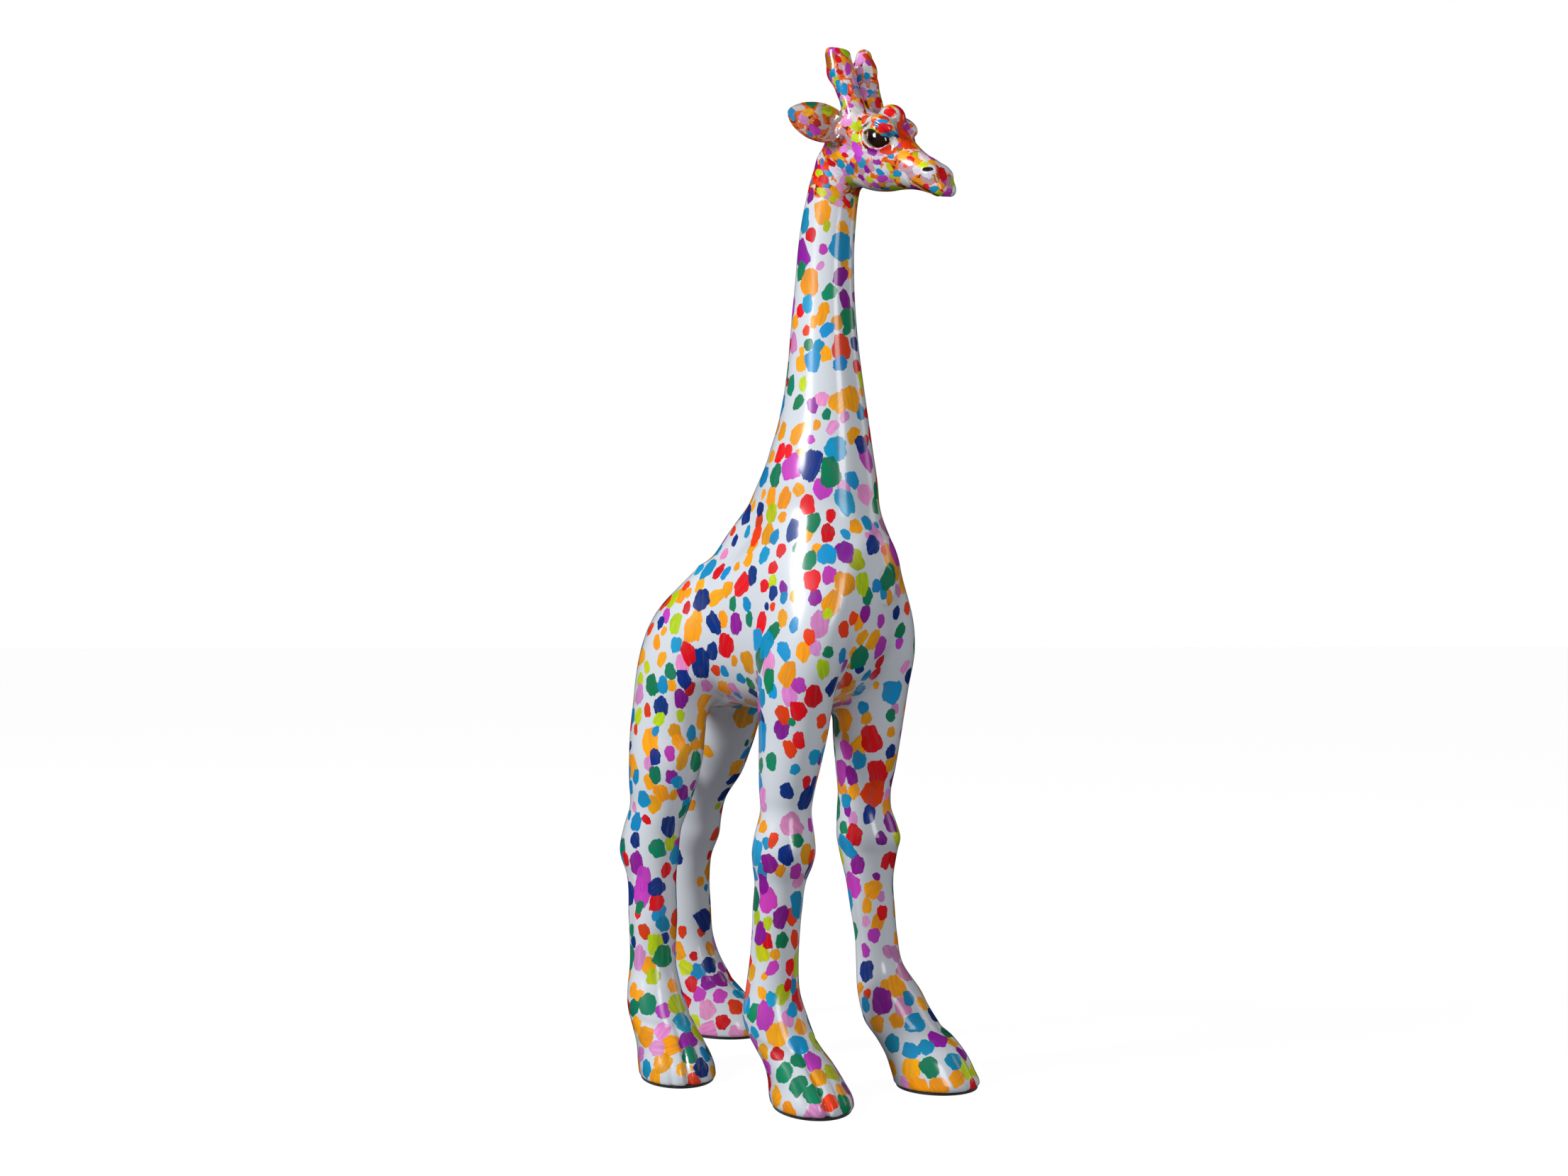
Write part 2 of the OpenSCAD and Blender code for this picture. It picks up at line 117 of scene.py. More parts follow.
class Loft:
    """Distance to a body swept along one axis through oval sections. The sections'
    centre, half sizes and turn follow splines in the axis coordinate. The distance
    is the gap to the section along the ray from its centre, divided by the wall's
    steepness."""

    def __init__(self, rows, power):
        r = np.array(sorted(rows), float)
        self.lo, self.hi, self.n = r[0, 0], r[-1, 0], power
        self.t = np.linspace(self.lo, self.hi, 401)
        self.tab = [spline(self.t, r[:, 0], r[:, k]) for k in range(1, 6)]
        lean = np.hypot(np.gradient(self.tab[0], self.t), np.gradient(self.tab[1], self.t))
        flare = np.abs(np.gradient(np.minimum(self.tab[2], self.tab[3]), self.t))
        self.steep = np.sqrt(1 + lean ** 2 * 0.6 + np.minimum(flare, 2) ** 2)

    def local(self, u, v, w):
        """Coordinates along and across the section at axis coordinate w."""
        t = np.clip(w, self.lo, self.hi)
        cu, cv, a, b, yaw = [np.interp(t, self.t, x) for x in self.tab]
        c, s = np.cos(np.radians(yaw)), np.sin(np.radians(yaw))
        return (u - cu) * c + (v - cv) * s, (v - cv) * c - (u - cu) * s, a, b, w - t

    def __call__(self, u, v, w):
        p, q, a, b, e = self.local(u, v, w)
        a, b = np.maximum(a, 0.3), np.maximum(b, 0.3)
        k = ((np.abs(p) / a) ** self.n + (np.abs(q) / b) ** self.n) ** (1 / self.n) + 1e-9
        r = np.sqrt(p * p + q * q)
        d = np.where(k < 1, -np.minimum(a, b) * (1 - k), r - r / k)
        d = d / np.interp(w - e, self.t, self.steep)
        return np.where(np.abs(e) > 1e-9, np.hypot(np.maximum(d, 0), e), d)


def smin(a, b, k):
    """Union of two distances with a fillet about k wide."""
    h = np.maximum(k - np.abs(a - b), 0) / k
    return np.minimum(a, b) - h * h * k / 4


def smax(a, b, k):
    """Intersection of two distances with an edge rounded about k wide."""
    return -smin(-a, -b, k)


def ramp(x, lo, hi):
    """0 below lo, 1 above hi, smooth between."""
    t = np.clip((x - lo) / (hi - lo), 0, 1)
    return t * t * (3 - 2 * t)


barrel = Loft([(x, 0, z, w, h, 0) for x, z, w, h in BARREL], 2.3)
withers = Loft(WITHERS, 2.1)
neck_root = Loft(NECK_ROOT, 2.1)
leg_roots = {k: Loft(v, 2.1) for k, v in LEG_ROOTS.items()}


def trunk(x, y, z):
    """Torso without its legs: barrel, withers and the root of the neck."""
    d = barrel(y, z, x)
    d = smin(d, neck_root(x, y, z), 14)
    return smin(d, withers(x, y, z), 10)


def torso_form(x, y, z):
    """Trunk with the four leg tops blended in."""
    d = trunk(x, y, z)
    for root in leg_roots.values():
        d = smin(d, root(x, y, z), 11)
    return d


def surface_net(form, lo, hi, cell):
    """Quads round the zero set of form inside a box: one vertex in every grid cell
    the surface crosses, at the mean of the crossings on the cell's edges, then
    moved onto the surface along the gradient."""
    lo = np.array(lo, float)
    n = [int(math.ceil((b - a) / cell)) + 1 for a, b in zip(lo, hi)]
    ax = [lo[i] + cell * np.arange(n[i]) for i in range(3)]
    f = np.empty(n)
    for i in range(0, n[0], 12):
        g = np.meshgrid(ax[0][i:i + 12], ax[1], ax[2], indexing="ij")
        f[i:i + 12] = form(*g)
    neg = f < 0
    corner = np.array([(i, j, k) for i in (0, 1) for j in (0, 1) for k in (0, 1)])
    part = [neg[i:n[0] - 1 + i, j:n[1] - 1 + j, k:n[2] - 1 + k] for i, j, k in corner]
    count = sum(p.astype(np.int8) for p in part)
    live = (count > 0) & (count < 8)
    cells = np.argwhere(live)
    index = np.full(live.shape, -1, np.int64)
    index[live] = np.arange(len(cells))
    val = np.stack([f[tuple((cells + o).T)] for o in corner], 1)
    acc, cnt = np.zeros((len(cells), 3)), np.zeros(len(cells))
    for a in range(8):
        for b in range(a + 1, 8):
            if np.abs(corner[a] - corner[b]).sum() == 1:
                m = (val[:, a] < 0) != (val[:, b] < 0)
                t = np.where(m, val[:, a] / np.where(m, val[:, a] - val[:, b], 1), 0)
                acc += m[:, None] * (corner[a] + t[:, None] * (corner[b] - corner[a]))
                cnt += m
    verts = (cells + acc / cnt[:, None]) * cell + lo
    quads = []
    for k in range(3):
        s0, s1 = [slice(1, -1)] * 3, [slice(1, -1)] * 3
        s0[k], s1[k] = slice(0, -1), slice(1, None)
        e = np.argwhere(neg[tuple(s0)] != neg[tuple(s1)])
        out = neg[tuple(s0)][tuple(e.T)]
        g = e + 1
        g[:, k] -= 1
        du, dv = np.zeros(3, int), np.zeros(3, int)
        du[(k + 1) % 3], dv[(k + 2) % 3] = 1, 1
        q = np.stack([index[tuple((g - o).T)] for o in (du + dv, dv, 0 * du, du)], 1)
        q[~out] = q[~out][:, ::-1]
        quads.append(q)
    for _ in range(2):
        verts = onto(form, verts, 0.6 * cell)
    return verts, np.concatenate(quads)


def gradient(form, p, e=0.05):
    """Slope of a form at points p by central differences."""
    g = np.empty_like(p)
    for k in range(3):
        d = np.zeros(3)
        d[k] = e
        g[:, k] = (form(*(p + d).T) - form(*(p - d).T)) / (2 * e)
    return g


def onto(form, p, most):
    """One step of each point along the slope towards the zero set, no longer than most."""
    g = gradient(form, p)
    step = form(*p.T) / np.maximum((g * g).sum(1), 0.15)
    size = np.abs(step) * np.sqrt((g * g).sum(1))
    step *= np.minimum(1, most / np.maximum(size, 1e-9))
    return p - step[:, None] * g


def piece(name, verts, faces, cuts=()):
    """Mesh object from millimetre vertices. Each cut is (point, outward direction,
    where): of the faces whose centres where() accepts, those outside the plane go,
    and the hole is closed by a flat, sharp-edged face."""
    mesh = bpy.data.meshes.new(name)
    bm = bmesh.new()
    vs = [bm.verts.new(v) for v in np.asarray(verts, float).tolist()]
    for f in np.asarray(faces).tolist() if isinstance(faces, np.ndarray) else faces:
        if len(set(f)) > 2:
            bm.faces.new([vs[i] for i in dict.fromkeys(f)])
    for f in bm.faces:
        f.smooth = True
    for point, out, where in cuts:
        bm.faces.ensure_lookup_table()
        inside = where(*np.array([f.calc_center_median() for f in bm.faces]).T)
        near = [bm.faces[i] for i in np.flatnonzero(inside)]
        corners = dict.fromkeys(v for f in near for v in f.verts)
        sides = dict.fromkeys(e for f in near for e in f.edges)
        geom = [*corners, *sides, *near]
        cut = bmesh.ops.bisect_plane(
            bm, geom=geom, plane_co=point, plane_no=out, clear_outer=True, dist=1e-5)
        rim = [e for e in cut["geom_cut"] if isinstance(e, bmesh.types.BMEdge) and e.is_boundary]
        for f in bmesh.ops.holes_fill(bm, edges=rim, sides=0)["faces"]:
            f.smooth = False
            for e in f.edges:
                e.smooth = False
    loose = [v for v in bm.verts if not v.link_faces]
    bmesh.ops.delete(bm, geom=loose, context="VERTS")
    bmesh.ops.scale(bm, vec=(0.001, 0.001, 0.001), verts=bm.verts)
    bmesh.ops.recalc_face_normals(bm, faces=bm.faces)
    bm.to_mesh(mesh)
    bm.free()
    obj = bpy.data.objects.new(name, mesh)
    bpy.context.scene.collection.objects.link(obj)
    return obj


torso_verts, torso_faces = surface_net(
    torso_form, (-100, -58, 206), (96, 58, 380), 1.3)
torso = piece("torso", torso_verts, torso_faces, cuts=[
    ((0, 0, LEG_SEAM), (0, 0, -1), lambda x, y, z: z < 250),
    ((0, 0, NECK_SEAM), (0, 0, 1), lambda x, y, z: z > 350),
])
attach(torso, "root")
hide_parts("torso_shell")
painted = {"torso": (torso, torso_form)}

# ---------------------------------------------------------------------------
# Belly plug: turned resin disc glued into the pour hole under the belly. Only its
# low flange shows from below.
# ---------------------------------------------------------------------------
PLUG_AT = (-8.0, 0.0)
PLUG_R = 14.0


def turned(profile, sides):
    """Rings and quads of a closed solid of revolution about +Z. The profile is a
    list of (radius, height) from bottom to top; radius 0 ends it on the axis."""
    verts, faces, rows = [], [], []
    for r, z in profile:
        if r < 1e-6:
            rows.append([len(verts)] * sides)
            verts.append((0.0, 0.0, z))
        else:
            rows.append(list(range(len(verts), len(verts) + sides)))
            verts += [(r * math.cos(2 * math.pi * i / sides),
                       r * math.sin(2 * math.pi * i / sides), z) for i in range(sides)]
    for lo, hi in zip(rows, rows[1:]):
        for i in range(sides):
            j = (i + 1) % sides
            faces.append([lo[i], lo[j], hi[j], hi[i]])
    return np.array(verts, float), faces


class Socket:
    """An output socket of a node tree, with arithmetic that adds Math nodes."""

    def __init__(self, tree, out):
        self.tree, self.out = tree, out

    def node(self, kind, settings=None, inputs=None):
        """Adds a node, sets its properties, then its sockets' values or links."""
        n = self.tree.nodes.new(kind)
        for key, value in (settings or {}).items():
            setattr(n, key, value)
        for key, value in (inputs or {}).items():
            if isinstance(value, Socket):
                self.tree.links.new(value.out, n.inputs[key])
            elif value is not None:
                n.inputs[key].default_value = value
        return n

    def put(self, kind, settings=None, inputs=None, output=0):
        """The named output of a new node."""
        return Socket(self.tree, self.node(kind, settings, inputs).outputs[output])

    def math(self, how, a, b=None, clamp=False):
        return self.put("ShaderNodeMath", {"operation": how, "use_clamp": clamp}, {0: a, 1: b})

    def __add__(self, b): return self.math("ADD", self, b)
    def __sub__(self, b): return self.math("SUBTRACT", self, b)
    def __rsub__(self, a): return self.math("SUBTRACT", a, self)
    def __mul__(self, b): return self.math("MULTIPLY", self, b)
    def __truediv__(self, b): return self.math("DIVIDE", self, b)
    __radd__, __rmul__ = __add__, __mul__

    def clamped(self): return self.math("ADD", self, 0.0, True)

    def step(self, lo, hi):
        """0 below lo and 1 above hi, smooth between."""
        return self.put("ShaderNodeMapRange", {"interpolation_type": "SMOOTHSTEP"},
                        {0: self, 1: lo, 2: hi}, 0)

    def over(self, low, high):
        """Colour low where this value is 0, colour high where it is 1."""
        return self.put("ShaderNodeMix", {"data_type": "RGBA"}, {0: self, 6: low, 7: high}, 2)


def new_material(name):
    """Empty node tree's wrapper and its output node."""
    mat = bpy.data.materials.new(name)
    mat.use_nodes = True
    mat.node_tree.nodes.clear()
    end = mat.node_tree.nodes.new("ShaderNodeOutputMaterial")
    return mat, Socket(mat.node_tree, None), end


def resin_paint():
    """Matt off-white resin, with faint mottling and fine grain."""
    mat, s, end = new_material("bare_resin")
    where = s.put("ShaderNodeTexCoord", output="Object")
    mottle = s.put("ShaderNodeTexNoise", None, {"Vector": where, "Scale": 90.0, "Detail": 4.0}, "Fac")
    grain = s.put("ShaderNodeTexNoise", None, {"Vector": where, "Scale": 1600.0, "Detail": 2.0}, "Fac")
    bump = s.put("ShaderNodeBump", {}, {"Strength": 0.2, "Distance": 0.0002, "Height": grain})
    shader = s.node("ShaderNodeBsdfPrincipled", {}, {
        "Base Color": mottle.over((0.62, 0.63, 0.62, 1), (0.74, 0.75, 0.75, 1)),
        "Roughness": grain * 0.15 + 0.42, "Normal": bump})
    s.tree.links.new(shader.outputs[0], end.inputs[0])
    return mat


plug_verts, plug_faces = turned(
    [(0, 0), (12.6, 0), (13.6, 0.3), (PLUG_R, 1.0), (PLUG_R, 2.5), (11, 2.5), (11, 9), (0, 9)], 72)
belly = np.full(len(plug_verts), 200.0)
for _ in range(40):
    belly += 0.7 * torso_form(plug_verts[:, 0] + PLUG_AT[0], plug_verts[:, 1] + PLUG_AT[1], belly)
plug_verts += np.column_stack([np.full(len(belly), PLUG_AT[0]), np.full(len(belly), PLUG_AT[1]), belly - 0.6])
plug = piece("plug_flange", plug_verts, plug_faces)
plug.data.materials.append(resin_paint())
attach(plug, "root")
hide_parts("belly_plug")

# ---------------------------------------------------------------------------
# Neck: solid resin casting, upright and tapering, a little deeper than wide. Its
# three highest sections lie inside the head casting.
# ---------------------------------------------------------------------------
HEAD_SEAM = 514.0
NECK = NECK_ROOT[:3] + [
    (424, 40.7, 0, 23.7, 18.5, 0), (441, 40.4, 0, 21.8, 17, 0),
    (457, 40.4, 0, 20.4, 15.9, 0), (474, 41, 0, 19, 14.9, 0),
    (491, 41.9, 0, 18.2, 14.2, 0), (507, 43.8, 0, 17.6, 13.8, 0),
    (524, 47.3, 0, 16.8, 13.2, 0), (539, 52.5, 0, 16.5, 12.9, 0),
    (551, 59, 0, 15.7, 12.3, 0), (556, 63, 0, 11, 9, 0),
]
neck_loft = Loft(NECK_ROOT[3:4] + NECK, 2.1)


def neck_form(x, y, z):
    """The neck's own sections, which blend into the withers at the bottom seam."""
    return smin(neck_loft(x, y, z), withers(x, y, z), 10)


neck_verts, neck_faces = surface_net(
    neck_form, (-6, -36, 366), (82, 36, 520), 1.2)
neck = piece("neck_casting", neck_verts, neck_faces, cuts=[
    ((0, 0, NECK_SEAM), (0, 0, -1), lambda x, y, z: z < 400),
    ((0, 0, HEAD_SEAM), (0, 0, 1), lambda x, y, z: z > 500),
])
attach(neck, "root")
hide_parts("neck")
painted["neck_casting"] = (neck, neck_form)

# ---------------------------------------------------------------------------
# Head: resin casting with the jaw, brow ridges, a lump on the forehead, cheeks,
# slit nostrils, the line of the mouth and the roots of the ears and horns. It
# tips down and leans a little to its right.
# ---------------------------------------------------------------------------
HEAD_AT = np.array([79.0, 0.0, 548.0])
PITCH, LEAN = math.radians(30), math.radians(8)
# along the head: [along, centre height, half width, half height]
SKULL = [
    (-34, 2, 5, 5), (-28, 1, 12, 12), (-18, -1, 16, 17), (-6, -2, 16.5, 20.5),
    (6, -2, 15.5, 20.5), (18, -1.3, 13.2, 18.1), (26, -0.9, 11.2, 14.6),
    (38, 0.3, 9.6, 10.6), (46.5, 1.2, 9.8, 9.2), (54, 0.6, 9.6, 7.4),
    (59.5, -0.4, 8, 5.4), (64, -2.2, 5, 2.4), (65.2, -2.5, 3, 1.4),
]
# horn centre lines: [x, y, z, radius]
HORN_RIGHT = [
    (72.5, -7.5, 566, 7.2), (67.2, -9.4, 582, 6.2), (63.2, -10.8, 593, 7.7), (61.4, -11.4, 603, 7.3),
]
HORN_LEFT = [(71.5, 7.5, 572, 7.2), (65.9, 10, 588, 6.3), (61.8, 11.8, 598, 7.3), (60.6, 12.9, 606.5, 4.8)]
EYE_AT = (10.6, 10.2, 8.8)
# half sizes of the eye: forward, sideways, up
EYE_HALF = (9.4, 5.3, 6.4)
HEAD_TURN = np.array([
    [math.cos(PITCH), math.sin(PITCH) * math.sin(LEAN), math.sin(PITCH) * math.cos(LEAN)],
    [0, math.cos(LEAN), -math.sin(LEAN)],
    [-math.sin(PITCH), math.cos(PITCH) * math.sin(LEAN), math.cos(PITCH) * math.cos(LEAN)],
])
skull_loft = Loft([(x, 0, c, w, h, 0) for x, c, w, h in SKULL], 2.25)


def to_head(x, y, z):
    """Coordinates along the head, to its left and up through its crown."""
    q = (x - HEAD_AT[0], y - HEAD_AT[1], z - HEAD_AT[2])
    return [HEAD_TURN[0, k] * q[0] + HEAD_TURN[1, k] * q[1] + HEAD_TURN[2, k] * q[2] for k in range(3)]


def egg(x, y, z, at, half):
    """Distance to an ellipsoid, from its two scaled lengths."""
    q = (x - at[0], y - at[1], z - at[2])
    k0 = np.sqrt(sum((q[i] / half[i]) ** 2 for i in range(3)))
    k1 = np.sqrt(sum((q[i] / half[i] ** 2) ** 2 for i in range(3))) + 1e-9
    return k0 * (k0 - 1) / k1


def rod_form(x, y, z, a, b):
    """Distance to a round bar with domed ends whose radius changes evenly."""
    d = np.array(b[:3], float) - np.array(a[:3], float)
    h = ((x - a[0]) * d[0] + (y - a[1]) * d[1] + (z - a[2]) * d[2]) / (d @ d)
    h = np.clip(h, 0, 1)
    r = np.sqrt((x - a[0] - h * d[0]) ** 2 + (y - a[1] - h * d[1]) ** 2 + (z - a[2] - h * d[2]) ** 2)
    return r - (a[3] + (b[3] - a[3]) * h)


def chain(x, y, z, line):
    """Union of the bars along a line of points, with soft joints."""
    d = rod_form(x, y, z, line[0], line[1])
    for a, b in zip(line[1:], line[2:]):
        d = smin(d, rod_form(x, y, z, a, b), 2)
    return d


def eye_gap(u, w):
    """Almond outline of the eye seen from the side: two arcs that meet at the corners."""
    du, dw = u - EYE_AT[0], w - EYE_AT[2]
    c, s = math.cos(-0.12), math.sin(-0.12)
    du, dw = du * c + dw * s, dw * c - du * s
    return np.maximum(np.hypot(du, dw - 5.2) - 9.6, np.hypot(du, dw + 4.6) - 9.2)


def face_form(x, y, z):
    """Skull, jaw and the features of the face, in the head's own coordinates."""
    u, v, w = to_head(x, y, z)
    side = np.abs(v)
    d = skull_loft(v, w, u)
    d = smin(d, egg(u, side, w, (9.0, 9.2, 16.0), (10.5, 6.0, 5.4)), 4)
    d = smin(d, egg(u, side, w, (12, 7.5, -8.5), (14, 6.3, 8.5)), 6)
    d = smin(d, egg(u, side, w, (51.5, 5.7, 4.7), (6.0, 3.7, 3.7)), 3)
    d = smin(d, egg(u, v, w, (7, 0, 20.6), (8, 7.5, 7.2)), 3.5)
    d = smin(d, egg(u, side, w, (58.8, 3.2, -1.8), (5.2, 4.4, 3.6)), 3)
    gap = eye_gap(u, w)
    out = ramp(side, 8.5, 11)
    d = d - 0.9 * np.exp(-((gap - 0.7) / 1.1) ** 2) * out
    d = d + 0.75 * np.exp(-((gap - 3.6) / 0.8) ** 2) * out * ramp(w, 5, 9)
    d = smax(d, -np.maximum(gap, 9.0 - side), 0.8)
    mouth = np.exp(-((w + 3.6 + 0.075 * (u - 40)) / 0.75) ** 2) * ramp(u, 38, 43)
    fold = np.exp(-(((u - 41) * 0.85 + (w + 4.2) * 0.5) / 0.8) ** 2)
    fold = fold * np.exp(-((w + 5.5) / 3) ** 2) * ramp(side, 4, 6)
    d = d + 0.95 * mouth + 0.7 * fold
    slit = egg(u * 0.92 + w * 0.39, side, w * 0.92 - u * 0.39, (49.8, 8.2, -14.3), (3.3, 2.2, 1.0))
    return smax(d, -slit, 1.0)


def crown_form(x, y, z, which=("right", "left")):
    """Face, top of the neck, ear roots and the horns that which names."""
    d = smin(face_form(x, y, z), neck_loft(x, y, z), 7)
    for s in (-1, 1):
        a, b = ear_line(s)
        d = smin(d, rod_form(x, y, z, (*(a + (a - b) * 0.15), 5.6), (*(a + (b - a) * 0.1), 5.2)), 3.5)
    horns = 1e3
    if "right" in which:
        right = chain(x, y, z, HORN_RIGHT)
        horns = smax(right, (z - 606.4) + 0.25 * (x - 62), 2.2)
    if "left" in which:
        horns = smin(horns, chain(x, y, z, HORN_LEFT), 0.6)
    return smin(d, horns, 4)


def ear_line(side):
    """Root and tip of an ear; side is -1 for the right one."""
    return np.array([72.5, side * 13, 557 + 2 * side]), np.array([40.5, side * 31, 572.5 + 2 * side])


def seat(line):
    """Centre and direction of the flat glued seat of a horn, a little above its root."""
    a, b = np.array(line[0][:3], float), np.array(line[-1][:3], float)
    n = (b - a) / np.linalg.norm(b - a)
    return a + 8.2 * n, n


head_cell = 0.55
head_verts, head_faces = surface_net(crown_form, (26, -26, 505), (142, 26, 616), head_cell)
seat_right, up_right = seat(HORN_RIGHT)
seat_left, up_left = seat(HORN_LEFT)
head = piece("head_casting", head_verts, head_faces, cuts=[
    ((0, 0, HEAD_SEAM), (0, 0, -1), lambda x, y, z: (x < 80) & (z < 530)),
    (seat_right, up_right, lambda x, y, z: (y < 0.4) & (x < 84) & (z > 568)),
    (seat_left, up_left, lambda x, y, z: (y > 0.4) & (x < 84) & (z > 568)),
])
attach(head, "root")
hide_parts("head")
painted["head_casting"] = (head, crown_form)

# ---------------------------------------------------------------------------
# Right horn: short thick post that leans back, waisted, with a swollen end cut
# flat across the top. It is glued to a flat seat on the head.
# ---------------------------------------------------------------------------
horn_cell = 0.5


def right_horn_form(x, y, z):
    """Head and right horn only."""
    return crown_form(x, y, z, ("right",))


horn_verts, horn_faces = surface_net(
    right_horn_form, (50, -24, 567), (84, 4, 612), horn_cell)
horn_right = piece("horn_right_casting", horn_verts, horn_faces, cuts=[
    (seat_right, -up_right, lambda x, y, z: z > 0)])
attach(horn_right, "root")
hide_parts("horn_right")
painted["horn_right_casting"] = (horn_right, right_horn_form)

# ---------------------------------------------------------------------------
# Left horn: as the right one, a little longer, with a rounder, narrower tip.
# ---------------------------------------------------------------------------
def left_horn_form(x, y, z):
    """Head and left horn only."""
    return crown_form(x, y, z, ("left",))


horn_verts, horn_faces = surface_net(
    left_horn_form, (48, -4, 571), (84, 24, 616), horn_cell)
horn_left = piece("horn_left_casting", horn_verts, horn_faces, cuts=[
    (seat_left, -up_left, lambda x, y, z: z > 0)])
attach(horn_left, "root")
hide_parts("horn_left")
painted["horn_left_casting"] = (horn_left, left_horn_form)

# ---------------------------------------------------------------------------
# Ears: two thin cupped leaves with a rounded rim, open to the front and outwards,
# glued to the head behind the eyes.
# ---------------------------------------------------------------------------
# [share of the length, half width, depth of the back, depth of the cup]
EAR = [
    (0.02, 5.6, 4.6, -3.6), (0.12, 7.2, 5.2, -2.4), (0.22, 9.2, 5.6, 0.8),
    (0.32, 10.7, 5.7, 3.0), (0.45, 11.5, 5.3, 3.6), (0.6, 11.2, 4.5, 2.9),
    (0.75, 9.4, 3.5, 2.0), (0.87, 6.8, 2.5, 1.0), (0.95, 3.9, 1.5, 0.2),
    (0.99, 1.7, 0.8, -0.2),
]


def ear_shell(side, rings, sides):
    """Grid over a leaf: along its length the half width and the depths of back and
    cup follow splines; round it, half an ellipse makes the back, and a shallower
    one, blended to it by a rounded rim, the cup."""
    root, tip = ear_line(side)
    ax = (tip - root) / np.linalg.norm(tip - root)
    n = np.array([0.55, side * 0.75, 0.2])
    n -= ax * (n @ ax)
    n /= np.linalg.norm(n)
    w = np.cross(ax, n)
    tab = np.array(EAR)
    s = tab[0, 0] + (tab[-1, 0] - tab[0, 0]) * np.sin(np.linspace(0, math.pi / 2, rings))
    half, back, cup = [spline(s, tab[:, 0], tab[:, k]) for k in (1, 2, 3)]
    t = 2 * math.pi * np.arange(sides) / sides
    a, b = np.cos(t), np.sin(t)
    flat = np.sign(b) * np.abs(b) ** 0.8
    across = a[None] * half[:, None]
    depth = np.where(b > 0, -back[:, None] * flat, cup[:, None] * flat)
    rim = 1.0 * np.clip(np.minimum(half / 8, 1), 0, 1)[:, None] * np.sign(b) * np.abs(b) ** 0.35
    depth = depth - np.where(b > 0, 0.3, 1.0) * rim + 0.9 * ramp(np.abs(a), 0.75, 1.0) * (half / 10)[:, None]
    bend = 2.2 * (s - 0.5) ** 2
    along = tip - root
    middle = (root + s[:, None] * along)[:, None]
    p = middle + across[..., None] * w + (depth + bend[:, None])[..., None] * n
    verts = list(p.reshape(-1, 3)) + [root + s[0] * along, root + (s[-1] + 0.012) * along + 0.55 * n]
    faces = []
    for k in range(rings - 1):
        low, high = k * sides, (k + 1) * sides
        faces += [[low + i, low + (i + 1) % sides, high + (i + 1) % sides, high + i] for i in range(sides)]
    m = rings * sides
    faces += [[m, (i + 1) % sides, i] for i in range(sides)]
    faces += [[m + 1, m - sides + i, m - sides + (i + 1) % sides] for i in range(sides)]
    return np.array(verts), faces


for side, name in ((-1, "ear_right"), (1, "ear_left")):
    ear_verts, ear_faces = ear_shell(side, 70, 64)
    ear = piece(name + "_leaf", ear_verts, ear_faces)
    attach(ear, "root")
    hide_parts(name)
    painted[name + "_leaf"] = (ear, None)

# ---------------------------------------------------------------------------
# Eyes: dark glass balls, a little flattened, seated behind the lids.
# ---------------------------------------------------------------------------
def eye_glass():
    """Black-brown glass with an amber iris that shows at the rear corner and low
    on the ball: distance from the ball's middle, seen from its side, picks the ring."""
    mat, s, end = new_material("dark_glass")
    ring = s.put("ShaderNodeAttribute", {"attribute_name": "ring"}, output="Fac")
    back = s.put("ShaderNodeAttribute", {"attribute_name": "back"}, output="Fac")
    where = s.put("ShaderNodeTexCoord", output="Object")
    fleck = s.put("ShaderNodeTexNoise", None, {"Vector": where, "Scale": 900.0, "Detail": 2.0}, "Fac")
    amber = (ring.step(0.42, 0.58) * (1.0 - ring.step(0.72, 0.86)) * back * fleck.step(0.4, 0.62)).clamped()
    dark = ring.step(0.0, 0.5).over((0.004, 0.004, 0.005, 1), (0.020, 0.009, 0.006, 1))
    shader = s.node("ShaderNodeBsdfPrincipled", {}, {
        "Base Color": amber.over(dark, (0.50, 0.20, 0.015, 1)), "Roughness": fleck * 0.04 + 0.05,
        "Coat Weight": 1.0, "Coat Roughness": 0.02, "IOR": 1.5})
    s.tree.links.new(shader.outputs[0], end.inputs[0])
    return mat


glass = eye_glass()
for side, name in ((-1, "eye_right"), (1, "eye_left")):
    r = [(math.sin(a), -math.cos(a)) for a in np.linspace(0, math.pi, 33)]
    ball, ball_faces = turned([(max(x, 0), z) for x, z in r], 48)
    # the ball's own axis points out of the head, so that the iris can follow it
    ball = np.column_stack([ball[:, 0], ball[:, 2] * side, ball[:, 1]]) * EYE_HALF
    ball += np.array([EYE_AT[0], EYE_AT[1] * side, EYE_AT[2]])
    eye = piece(name + "_ball", ball @ HEAD_TURN.T + HEAD_AT, ball_faces)
    co = np.array([v.co for v in eye.data.vertices]) * 1000
    u, v, w = to_head(*co.T)
    u, w = (u - EYE_AT[0]) / 9.0, (w - EYE_AT[2]) / 6.2
    for label, values in (("ring", np.hypot(u, w)), ("back", ramp(-0.8 * u - 0.6 * w, 0.1, 0.5))):
        attr = eye.data.attributes.new(label, "FLOAT", "POINT")
        attr.data.foreach_set("value", values.astype(np.float32))
    eye.data.materials.append(glass)
    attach(eye, "root")
    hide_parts(name)

# ---------------------------------------------------------------------------
# Front right leg: nearly straight, with a rounded knee, a slim cannon and a wide
# hoof turned outwards, cleft at the toe.
# ---------------------------------------------------------------------------
PAD_T = 1.5
leg_cell = 1.1


